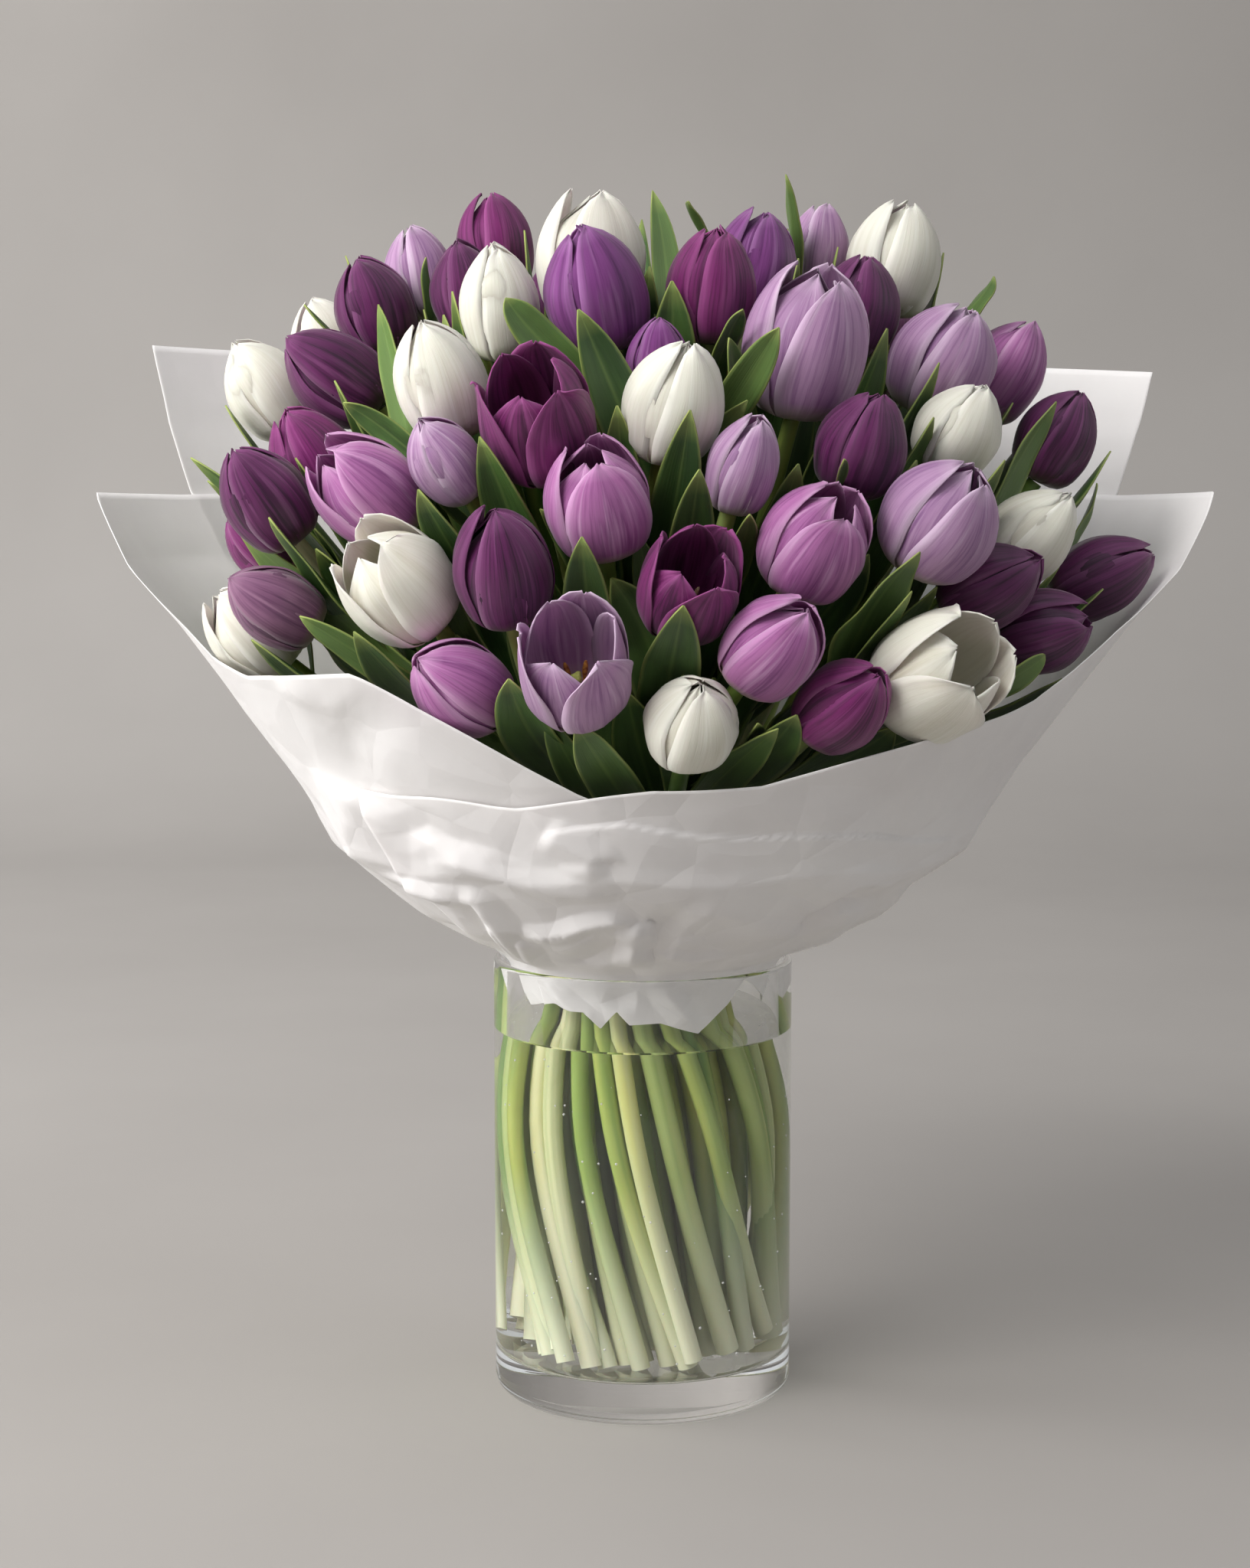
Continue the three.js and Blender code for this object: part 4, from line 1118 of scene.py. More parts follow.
@dataclass(frozen=True)
class LeafFinish:
    """A waxy leaf: parallel veins, a pale middle line and a yellow-green edge and tip."""

    body: Colour = linear(74, 106, 50)
    deep: Colour = linear(40, 66, 34)
    pale: Colour = linear(112, 138, 74)
    edge: Colour = linear(158, 172, 96)

    def paint(self) -> Material:
        """The finish."""
        paint = Paint("leaf", Roughness=0.4, Coat_Weight=0.12, Coat_Roughness=0.35,
                      Subsurface_Weight=0.05, Subsurface_Scale=0.002, Specular_IOR_Level=0.5)
        across, along = paint.pattern()
        tone = paint.value_of("tone")
        off = abs(across * 2.0 - 1.0)
        seed = tone * 31.0
        vein = paint.streaks(across * 34.0, along * 1.1, seed)
        cloud = paint.streaks(across * 2.5, along * 3.0, seed + 3.0, detail=3.0)
        colour = paint.mix((cloud.rise(0.35, 0.65) * 0.7 + vein * 0.3).held(), self.body, self.deep)
        # A higher tone gives a paler leaf; the low tone of the undergrowth leaves keeps them darker, a
        # painted shade.
        colour = paint.mix(tone * 0.6, colour, self.pale)
        colour = paint.mix((1.0 - off.rise(0.0, 0.12)) * 0.45, colour, self.pale)
        rim = off.rise(0.86, 1.0) * 0.55 + along.rise(0.9, 1.0) * 0.6
        colour = paint.mix(rim.held(), colour, self.edge)
        paint.feed("Base Color", colour)
        paint.feed("Roughness", 0.32 + cloud * 0.22)
        paint.bump(vein, 0.45, 0.5)
        return paint.material


@dataclass(frozen=True)
class StemFinish:
    """Stems from cream to bright green, streaked along, with whitish cut ends."""

    cream: Colour = linear(222, 220, 178)
    fresh: Colour = linear(150, 172, 88)
    green: Colour = linear(92, 128, 54)
    yellow: Colour = linear(200, 198, 104)
    cut: Colour = linear(238, 236, 212)

    def paint(self) -> Material:
        """The finish."""
        paint = Paint("stem", Roughness=0.38, Subsurface_Weight=0.12, Subsurface_Scale=0.003,
                      Specular_IOR_Level=0.5)
        around, along = paint.value_of("around"), paint.value_of("along")
        tone = paint.value_of("tone")
        streak = paint.streaks(around * 9.0, along * 3.0, tone * 41.0, detail=3.0)
        colour = paint.mix(tone.rise(0.0, 0.5), self.cream, self.fresh)
        colour = paint.mix(tone.rise(0.45, 1.0), colour, self.green)
        colour = paint.mix(along.rise(0.4, 0.6) * 0.6, colour, self.green)
        colour = paint.mix(streak.rise(0.45, 0.75) * 0.35, colour, self.green)
        patch = paint.streaks(around * 2.0, along * 7.0, tone * 17.0)
        colour = paint.mix(patch.rise(0.5, 0.7) * 0.6, colour, self.yellow)
        colour = paint.mix((1.0 - along.rise(0.0, 0.09)) * 0.75, colour, self.cut)
        paint.feed("Base Color", colour)
        paint.bump(streak, 0.3, 0.4)
        return paint.material


@dataclass(frozen=True)
class PaperFinish:
    """Matte white florist's paper with a fine fibre."""

    body: Colour = linear(245, 242, 240)
    shade: Colour = linear(236, 232, 231)

    def paint(self) -> Material:
        """The finish."""
        paint = Paint("wrapping paper", Roughness=0.7, Specular_IOR_Level=0.3, Subsurface_Weight=0.5,
                      Subsurface_Radius=(1.0, 1.0, 1.0), Subsurface_Scale=0.0012)
        where = paint.place()
        cloud = paint.noise(where, scale=14.0, detail=4.0)
        fibre = paint.noise(where, scale=900.0, detail=3.0, rough=0.7)
        paint.feed("Base Color", paint.mix(cloud.rise(0.35, 0.7), self.body, self.shade))
        paint.feed("Roughness", 0.62 + fibre * 0.16)
        plates = paint.node("ShaderNodeTexVoronoi", {"feature": "DISTANCE_TO_EDGE"}, {
            "Vector": paint.bent(where, 6.0, 0.02), "Scale": 26.0})
        flat = paint.signal(plates, "Distance").rise(0.0, 0.5)
        low = 1.0 - paint.split(where)[2].rise(0.25, 0.36)
        paint.bump(flat * (0.12 + low * 0.88) * 6.0 + fibre * 0.1 + cloud * 0.2, 0.55, 0.55)
        return paint.material


@dataclass(frozen=True)
class ClearFinish:
    """Clear glass or water, which lets lamp light through and frees light that its wall has caught."""

    name: str
    tint: Colour
    ior: float
    ripple: float
    relief: float
    most_turns: float = 1.5

    def paint(self) -> Material:
        """The finish."""
        paint = Paint(self.name, Base_Color=self.tint, Roughness=0.0, IOR=self.ior,
                      Transmission_Weight=1.0)
        paint.bump(paint.noise(paint.place(), scale=self.ripple, detail=1.0), self.relief, 1.5)
        light = paint.node("ShaderNodeLightPath")
        turns = paint.signal(light, "Glossy Depth")
        caught = turns.maths("GREATER_THAN", turns, self.most_turns)
        lamp_light = paint.signal(light, "Is Shadow Ray") + paint.signal(light, "Is Diffuse Ray")
        paint.mix_in("ShaderNodeBsdfTransparent", self.tint, (lamp_light + caught).held())
        return paint.material


GLASS = ClearFinish("vase glass", (0.985, 0.99, 0.987, 1.0), 1.5, 9.0, 0.12)
WATER = ClearFinish("water", (0.99, 0.995, 0.988, 1.0), 1.333, 30.0, 0.04)


def anther_finish(name: str, body: Colour, deep: Colour) -> Material:
    """Dusty stamens or a waxy pistil, mottled between two colours."""
    paint = Paint(name, Roughness=0.75)
    cloud = paint.noise(paint.place(), scale=700.0, detail=2.0)
    paint.feed("Base Color", paint.mix(cloud.rise(0.3, 0.7), body, deep))
    paint.bump(cloud, 0.3, 0.3)
    return paint.material


# ---- blooms


@dataclass
class Flowers:
    """The tulips' heads: three outer and three inner petals, and what an open one shows inside."""

    columns: int = 13
    rows: int = 20
    thickness: float = 0.5
    shut: Table = ((0, 0.12), (0.06, 0.44), (0.18, 0.74), (0.36, 0.93), (0.52, 0.99), (0.7, 0.89),
                   (0.85, 0.63), (0.95, 0.34), (1, 0.14))
    wide: Table = ((0, 0.12), (0.06, 0.46), (0.18, 0.76), (0.36, 0.95), (0.52, 1.0), (0.7, 0.99),
                   (0.85, 0.94), (0.95, 0.89), (1, 0.86))
    height: Table = ((0, 0.0), (0.06, 0.015), (0.18, 0.1), (0.36, 0.29), (0.52, 0.47), (0.7, 0.67),
                     (0.85, 0.84), (0.95, 0.95), (1, 1.0))
    outline: Table = ((0, 0.42), (0.1, 0.62), (0.25, 0.87), (0.42, 1.0), (0.58, 0.97), (0.74, 0.82),
                      (0.88, 0.55), (0.96, 0.28), (1, 0.06))
    stamens_from: float = 0.3
    outer_step: float = 1.02
    inner_step: float = 0.965
    outer_width: float = 0.98
    inner_width: float = 1.08
    most_spread: float = math.radians(76)
    fold_rates: tuple[float, ...] = (4.2, 7.1, 11.0)
    fold_height: float = 0.011
    wave_height: float = 0.035
    groove_width: float = 0.11
    closing: float = 0.85
    ring_radius: float = 3.2
    plain_length: float = 50.0
    nod: float = 0.3

    def petal(self, bloom: Bloom, turn: float, outer: bool, rng: np.random.Generator) -> Array:
        """The points of one petal, in the bloom's own frame.

        Args:
            bloom: The bloom that it belongs to.
            turn: Its place round the bloom, in degrees.
            outer: Whether it is one of the three outer petals.
            rng: The bloom's own random numbers.

        Returns:
            Rows by columns of points: x and y across the bloom, z along it.
        """
        v = np.linspace(0, 1, self.rows)[:, None]
        u = np.linspace(-1, 1, self.columns)[None, :]
        size = bloom.wide / 2
        middle = math.radians(turn + rng.uniform(-7, 7))
        toward = self.facing(bloom, middle)
        flare = clamp(bloom.open * (1 + 0.3 * toward) + rng.uniform(-0.06, 0.16) * (0.5 + bloom.open))
        side = blend_values(smooth_line(self.shut, v), smooth_line(self.wide, v), flare)
        step = self.outer_step if outer else self.inner_step - 0.05 * bloom.open
        width = self.outer_width if outer else self.inner_width
        half = size * width * rng.uniform(0.93, 1.04) * smooth_line(self.outline, v)
        spread_out = np.minimum(half / (size * np.maximum(side, 0.3)), self.most_spread)
        edge = np.abs(u) ** 3
        late = v * v * (3 - 2 * v)
        phases = rng.random(6) * 2 * math.pi
        folds = sum(np.cos(rate * u + phase) for rate, phase in zip(self.fold_rates, phases))
        folds = folds * self.fold_height
        folds = folds * np.sin(math.pi * clamp(v * 0.85 + 0.04)) ** 0.8
        beat = 2 * math.pi * v * rng.uniform(1.4, 2.4) + phases[3] + 1.5 * u
        wave = self.wave_height * edge * np.sin(beat) * late
        groove = (-0.026 if outer else -0.008) * np.exp(-((u / self.groove_width) ** 2))
        groove = groove * np.sin(math.pi * clamp(v * 1.02)) ** 0.6
        lap = rng.uniform(0.012, 0.03) * rng.choice((-1, 1)) * u * v
        lip = rng.uniform(-0.1, 0.07) * clamp((v - 0.78) / 0.22) ** 2
        press = -0.048 * edge * np.sin(math.pi * clamp(v * 1.1)) if outer else -0.03 * edge
        if not outer:
            side = side * (1 - self.closing * (1 - bloom.open) * clamp((v - 0.7) / 0.3) ** 2)
        roll = (0.02 + 0.07 * bloom.open) * edge * clamp((v - 0.45) / 0.4) if outer else 0.0
        radius = size * side * step * (1 + folds + wave + groove + lap + press + roll) + size * lip
        tall = bloom.long * rng.uniform(0.93, 1.0) * (1.0 if outer else 0.985)
        tall = tall * (1 - 0.1 * bloom.open * toward)
        lift = smooth_line(self.height, v) - 0.05 * np.abs(u) ** 1.5 * np.sin(math.pi * v)
        lift = lift + 0.012 * np.sin(5 * u + phases[4]) * late
        angle = middle + spread_out * u + rng.uniform(-0.16, 0.16) * v
        return polar(radius, angle, tall * lift)

    def facing(self, bloom: Bloom, angle: float) -> float:
        """How far a side of the bloom looks down and to the front, from -1 to 1."""
        across, beside, _ = self.frame_of(bloom)
        front_and_down = unit(np.array([0.0, -0.7, -0.7]))
        return float((across * math.cos(angle) + beside * math.sin(angle)) @ front_and_down)

    def frame_of(self, bloom: Bloom) -> tuple[Array, Array, Array]:
        """The bloom's directions: across, beside and along; an open one nods a little to the front."""
        axis = unit(bloom.axis + np.array([0.0, -self.nod, 0.0]) * clamp((bloom.open - 0.5) * 4))
        across = unit(np.cross(axis, np.array([0.0, 1.0, 0.0])))
        return across, np.cross(axis, across), axis

    def make(self, blooms: Sequence[Bloom], paints: dict[Kind, Material]) -> Object:
        """The petals of the blooms that share a name, as one piece."""
        draft = Draft()
        name = blooms[0].name
        rng = np.random.default_rng(seed_of(name))
        u, v = np.meshgrid(np.linspace(0, 1, self.columns), np.linspace(0, 1, self.rows))
        for bloom in blooms:
            frame_axes = np.array(self.frame_of(bloom))
            start = rng.uniform(-14, 14)
            for turn in (60, 180, 300, 0, 120, 240):
                outer = turn % 120 == 0
                points = self.petal(bloom, turn + start, outer, rng) @ frame_axes + bloom.base
                draft.grid(points, np.stack([u, v], axis=-1), rng.random())
        piece = draft.make(f"petals_{name}", paints[blooms[0].kind])
        thicken(piece, self.thickness)
        return piece

    def stamen_tree(self, material: Material) -> bpy.types.GeometryNodeTree:
        """Geometry Nodes for a ring of stamens: a filament with an anther on it, repeated."""
        kit = TreeKit("ring of stamens")
        given = kit.inputs({"Count": 6, "Ring radius": 3.0 * MM, "Anther": 1.5 * MM})
        ring = kit.add("MeshCircle", values={
            "Vertices": (given, "Count"), "Radius": (given, "Ring radius")})
        anther = kit.add("MeshUVSphere", values={
            "Segments": 8, "Rings": 6, "Radius": (given, "Anther")})
        stretched = kit.add("Transform", values={
            "Geometry": (anther, "Mesh"), "Scale": (0.8, 0.8, 2.9), "Translation": (0.0, 0.0, 11.0 * MM)})
        filament = kit.add("MeshCylinder", values={
            "Vertices": 7, "Radius": 0.6 * MM, "Depth": 10.0 * MM})
        raised = kit.add("Transform", values={
            "Geometry": (filament, "Mesh"), "Translation": (0.0, 0.0, 4.0 * MM)})
        stamen = kit.add("JoinGeometry")
        for part in (stretched, raised):
            kit.link(part, "Geometry", stamen, "Geometry")
        place = kit.add("InputPosition")
        outward = kit.add("ShaderNodeVectorMath", {"operation": "NORMALIZE"}, {0: (place, "Position")})
        leaning = kit.add("ShaderNodeVectorMath", {"operation": "ADD"}, {
            0: (outward, "Vector"), 1: (0.0, 0.0, 2.6)})
        turn = kit.add("FunctionNodeAlignRotationToVector", {"axis": "Z"}, {"Vector": (leaning, "Vector")})
        put = kit.add("InstanceOnPoints", values={
            "Points": (ring, "Mesh"), "Instance": (stamen, "Geometry"), "Rotation": (turn, "Rotation")})
        return kit.finish((put, "Instances"), material)

    def inside(self, bloom: Bloom, tree: bpy.types.GeometryNodeTree) -> Object:
        """The stamens of an open bloom, standing in its cup."""
        piece = place_object(f"stamens_{bloom.name}", bpy.data.meshes.new("stamens"))
        grow(piece, tree, {"Ring radius": self.ring_radius * MM})
        across, beside, axis = self.frame_of(bloom)
        seat = (bloom.base + axis * bloom.long * 0.1) * MM
        turn = Matrix((across, beside, axis)).transposed().to_4x4()
        size = bloom.long / self.plain_length
        piece.data.transform(Matrix.Translation(Vector(seat)) @ turn @ Matrix.Scale(size, 4))
        return piece

    def pistil(self, bloom: Bloom, material: Material) -> Object:
        """The green pistil in the middle of an open bloom, with its three-lobed head."""
        height = np.array([0, 0.3, 0.7, 0.82, 0.92, 1.0]) * bloom.long * 0.34
        width = np.array([0.7, 1.0, 0.75, 0.8, 1.15, 0.55]) * 2.3
        angle = np.linspace(0, 2 * math.pi, 18, endpoint=False)
        lobes = 1 + 0.25 * np.cos(3 * angle)[None, :] * np.array([0, 0.2, 0.3, 0.6, 1.0, 1.0])[:, None]
        radius = width[:, None] * lobes
        local = polar(radius, angle, height[:, None])
        points = local @ np.array(self.frame_of(bloom)) + bloom.base + bloom.axis * bloom.long * 0.05
        draft = Draft()
        draft.grid(points, closed=True)
        draft.cap(range(len(angle) - 1, -1, -1))
        draft.cap(range((len(height) - 1) * len(angle), len(height) * len(angle)))
        return draft.make(f"pistil_{bloom.name}", material)


# ---- Geometry Nodes


class TreeKit:
    """Makes a Geometry Nodes tree."""

    def __init__(self, name: str) -> None:
        """Opens a tree, whose result is one geometry."""
        self.tree = bpy.data.node_groups.new(name, "GeometryNodeTree")
        self.tree.interface.new_socket("Geometry", in_out="OUTPUT", socket_type="NodeSocketGeometry")

    def inputs(self, values: dict[str, float | None]) -> Node:
        """Adds the tree's inputs with their values; one without a value takes the piece itself."""
        for name, value in values.items():
            kind = "Geometry" if value is None else "Int" if isinstance(value, int) else "Float"
            socket = self.tree.interface.new_socket(
                name, in_out="INPUT", socket_type=f"NodeSocket{kind}")
            if value is not None:
                socket.default_value = value
        return self.add("NodeGroupInput")

    def add(self, kind: str, settings: Settings | None = None, values: Values | None = None) -> Node:
        """Adds a node with its settings, then its sockets' values or (node, output) links."""
        whole = kind.startswith(("ShaderNode", "FunctionNode", "NodeGroup"))
        made = self.tree.nodes.new(kind if whole else f"GeometryNode{kind}")
        for name, value in (settings or {}).items():
            setattr(made, name, value)
        for name, value in (values or {}).items():
            if isinstance(value, tuple) and isinstance(value[0], Node):
                self.tree.links.new(value[0].outputs[value[1]], made.inputs[name])
            else:
                made.inputs[name].default_value = value
        return made

    def link(self, source: Node, output: str, target: Node, name: str) -> None:
        """Links one more geometry to a node that takes several."""
        self.tree.links.new(source.outputs[output], target.inputs[name])

    def finish(self, last: tuple[Node, str], material: Material) -> bpy.types.GeometryNodeTree:
        """Makes the result real, smooth and of its material, and gives back the whole tree."""
        real = self.add("RealizeInstances", values={"Geometry": last})
        smooth = self.add("SetShadeSmooth", values={"Geometry": (real, 0)})
        dressed = self.add("SetMaterial", values={
            "Geometry": (smooth, "Geometry"), "Material": material})
        self.link(dressed, "Geometry", self.add("NodeGroupOutput"), "Geometry")
        return self.tree


def grow(piece: Object, tree: bpy.types.GeometryNodeTree, sizes: dict[str, float]) -> None:
    """Runs a Geometry Nodes tree on a piece and keeps the result as its plain mesh.

    Args:
        piece: The piece that the tree reads and then becomes.
        tree: The tree.
        sizes: Values of its named inputs.
    """
    modifier = piece.modifiers.new("grow", "NODES")
    modifier.node_group = tree
    for item in tree.interface.items_tree:
        if item.item_type == "SOCKET" and item.in_out == "INPUT" and item.name in sizes:
            modifier[item.identifier] = sizes[item.name]
    bpy.context.view_layer.update()
    graph = bpy.context.evaluated_depsgraph_get()
    mesh = bpy.data.meshes.new_from_object(
        piece.evaluated_get(graph), preserve_all_data_layers=True, depsgraph=graph)
    piece.modifiers.remove(modifier)
    piece.data = mesh


# ---- stems and leaves


@dataclass
class Stems:
    """Every stem as a round tube along a smooth path, made by Geometry Nodes."""

    bouquet: Bouquet
    sides: int = 12
    steps: int = 40
    thick: float = 4.75
    top: float = 3.7
    swing: float = 0.2
    foot_rise: float = 9.0

    def smooth_path(self, path: Array) -> Array:
        """Points of a smooth curve through a stem's corners."""
        gaps = np.linalg.norm(np.diff(path, axis=0), axis=1)
        at = np.concatenate([[0.0], np.cumsum(gaps)])
        where = np.linspace(0, at[-1], self.steps)
        return np.stack([smooth_line(list(zip(at, path[:, i])), where) for i in range(3)], axis=1)

    def loosened(self, path: Array, rng: np.random.Generator) -> Array:
        """A stem's corners, moved a little in the vase so that the stems cross and part."""
        moved = path.copy()
        swing, draw = rng.normal(0.0, self.swing), rng.uniform(0.78, 1.03)
        moved[0, 2] += rng.uniform(0.0, self.foot_rise)
        for i, share in ((0, 1.0), (1, 0.35)):
            turn, pull = swing * share, 1 - (1 - draw) * share
            cos, sin = math.cos(turn) * pull, math.sin(turn) * pull
            moved[i, :2] = path[i, 0] * cos - path[i, 1] * sin, path[i, 0] * sin + path[i, 1] * cos
        return moved

    def tree(self, material: Material) -> bpy.types.GeometryNodeTree:
        """Geometry Nodes that turn lines with a radius into closed tubes."""
        kit = TreeKit("stems")
        given = kit.inputs({"Lines": None, "Sides": self.sides})
        curves = kit.add("MeshToCurve", values={"Mesh": (given, "Lines")})
        width = kit.add("InputNamedAttribute", {"data_type": "FLOAT"}, {"Name": "width"})
        sized = kit.add("SetCurveRadius", values={
            "Curve": (curves, "Curve"), "Radius": (width, 0)})
        share = kit.add("SplineParameter")
        stored = {"data_type": "FLOAT", "domain": "POINT"}
        lengthwise = kit.add("StoreNamedAttribute", stored, {
            "Geometry": (sized, "Curve"), "Name": "along", "Value": (share, "Length")})
        ring = kit.add("CurvePrimitiveCircle", values={
            "Resolution": (given, "Sides"), "Radius": 1.0})
        ring_share = kit.add("SplineParameter")
        turned = kit.add("ShaderNodeMath", {"operation": "PINGPONG"}, {0: (ring_share, "Factor"), 1: 0.5})
        round_ring = kit.add("StoreNamedAttribute", stored, {
            "Geometry": (ring, "Curve"), "Name": "around", "Value": (turned, "Value")})
        tube = kit.add("CurveToMesh", values={
            "Curve": (lengthwise, "Geometry"), "Profile Curve": (round_ring, "Geometry"), "Fill Caps": True})
        if "Scale" in tube.inputs:
            kit.tree.links.new(width.outputs[0], tube.inputs["Scale"])
        return kit.finish((tube, "Mesh"), material)

    def make(self, material: Material) -> Object:
        """All the stems as one piece."""
        points, edges, widths, tones = [], [], [], []
        rng = np.random.default_rng(seed_of("stems"))
        for path in self.bouquet.paths:
            line = self.smooth_path(self.loosened(path, rng))
            start = len(points)
            points += line.tolist()
            edges += [(start + i, start + i + 1) for i in range(self.steps - 1)]
            size = self.thick * rng.uniform(0.78, 1.04)
            share = np.linspace(0, 1, self.steps)
            widths += blend_values(size, self.top, clamp(share * 1.6 - 0.6)).tolist()
            tones += [float(rng.random())] * self.steps
        mesh = bpy.data.meshes.new("stem lines")
        mesh.from_pydata((np.array(points) * MM).tolist(), edges, [])
        for name, values in (("width", np.array(widths) * MM), ("tone", np.array(tones))):
            layer = mesh.attributes.new(name, "FLOAT", "POINT")
            layer.data.foreach_set("value", values.astype(np.float32))
        piece = place_object("stems", mesh)
        grow(piece, self.tree(material), {})
        return piece


@dataclass
class Leaves:
    """The blades: folded along the middle, waved at their edges and pointed."""

    foliage: Foliage
    columns: int = 9
    rows: int = 28
    thickness: float = 0.7
    fold: float = 0.3
    outline: Table = ((0, 0.3), (0.15, 0.52), (0.36, 0.85), (0.56, 1.0), (0.74, 0.9), (0.88, 0.6),
                      (0.96, 0.26), (1, 0.03))
    # Painted shade: the undergrowth leaves' tone is scaled by this, so that their colour stays darker than
    # that of the leaves that show.
    shade: float = 0.25

    def make(self, material: Material) -> Object:
        """All the leaves as one piece."""
        draft = Draft()
        rng = np.random.default_rng(seed_of("leaves"))
        v = np.linspace(0, 1, self.rows)
        u = np.linspace(-1, 1, self.columns)
        cu, cv = np.meshgrid((u + 1) / 2, v)
        # The undergrowth leaves take a tone scaled down by shade, which paints them darker: painted shade
        # between the blooms.
        shown = [(blade, 1.0) for blade in self.foliage.blades]
        for blade, light in shown + [(blade, self.shade) for blade in self.foliage.undergrowth()]:
            middle, along, side = blade.point(v), blade.along(v), blade.side(v)
            face = unit(np.cross(side, along))
            half = smooth_line(self.outline, v) * blade.width / 2
            phase, beat = rng.random() * 6, rng.uniform(5, 9)
            across = half[:, None] * u
            lift = half[:, None] * self.fold * np.abs(u) ** 1.4
            ripple = (0.6 + blade.wave * 0.8) * np.sin(beat * v + phase)[:, None] * u * np.abs(u)
            ripple = ripple * np.sin(math.pi * v)[:, None]
            edge = 0.7 * np.sin(beat * 2.3 * v + phase * 2)[:, None] * np.abs(u) ** 3
            edge = edge * (half / 8)[:, None]
            points = (middle[:, None] + side[:, None] * across[..., None]
                      + face[:, None] * (lift + ripple + edge)[..., None])
            draft.grid(points, np.stack([cu, cv], axis=-1), rng.random() * light)
        piece = draft.make("leaves", material)
        thicken(piece, self.thickness, 0.0)
        return piece


# ---- paper


@dataclass(frozen=True)
class Crease:
    """A sharp fold that is seen along a line of pixels; its underside may be steeper."""

    seen: Table
    height: float
    width: float
    under: float = 1.0
    fade: float = 0.2

    def lift(self, points: Array) -> Array:
        """How far the paper at the given points stands out; it fades at both ends of the fold."""
        line = PAPER.trace(self.seen)
        least = np.full(points.shape[:-1], np.inf)
        along = np.zeros(points.shape[:-1])
        for i, (a, b) in enumerate(zip(line, line[1:])):
            ab = b - a
            share = clamp(((points - a) @ ab) / float(ab @ ab))
            away = points - a - ab * share[..., None]
            far = np.linalg.norm(away, axis=-1) / np.where(away[..., 2] < 0, self.under, 1.0)
            along = np.where(far < least, (i + share) / (len(line) - 1), along)
            least = np.minimum(least, far)
        fading = clamp(np.minimum(along, 1 - along) / self.fade)
        return self.height * fading * clamp(1 - least / self.width)


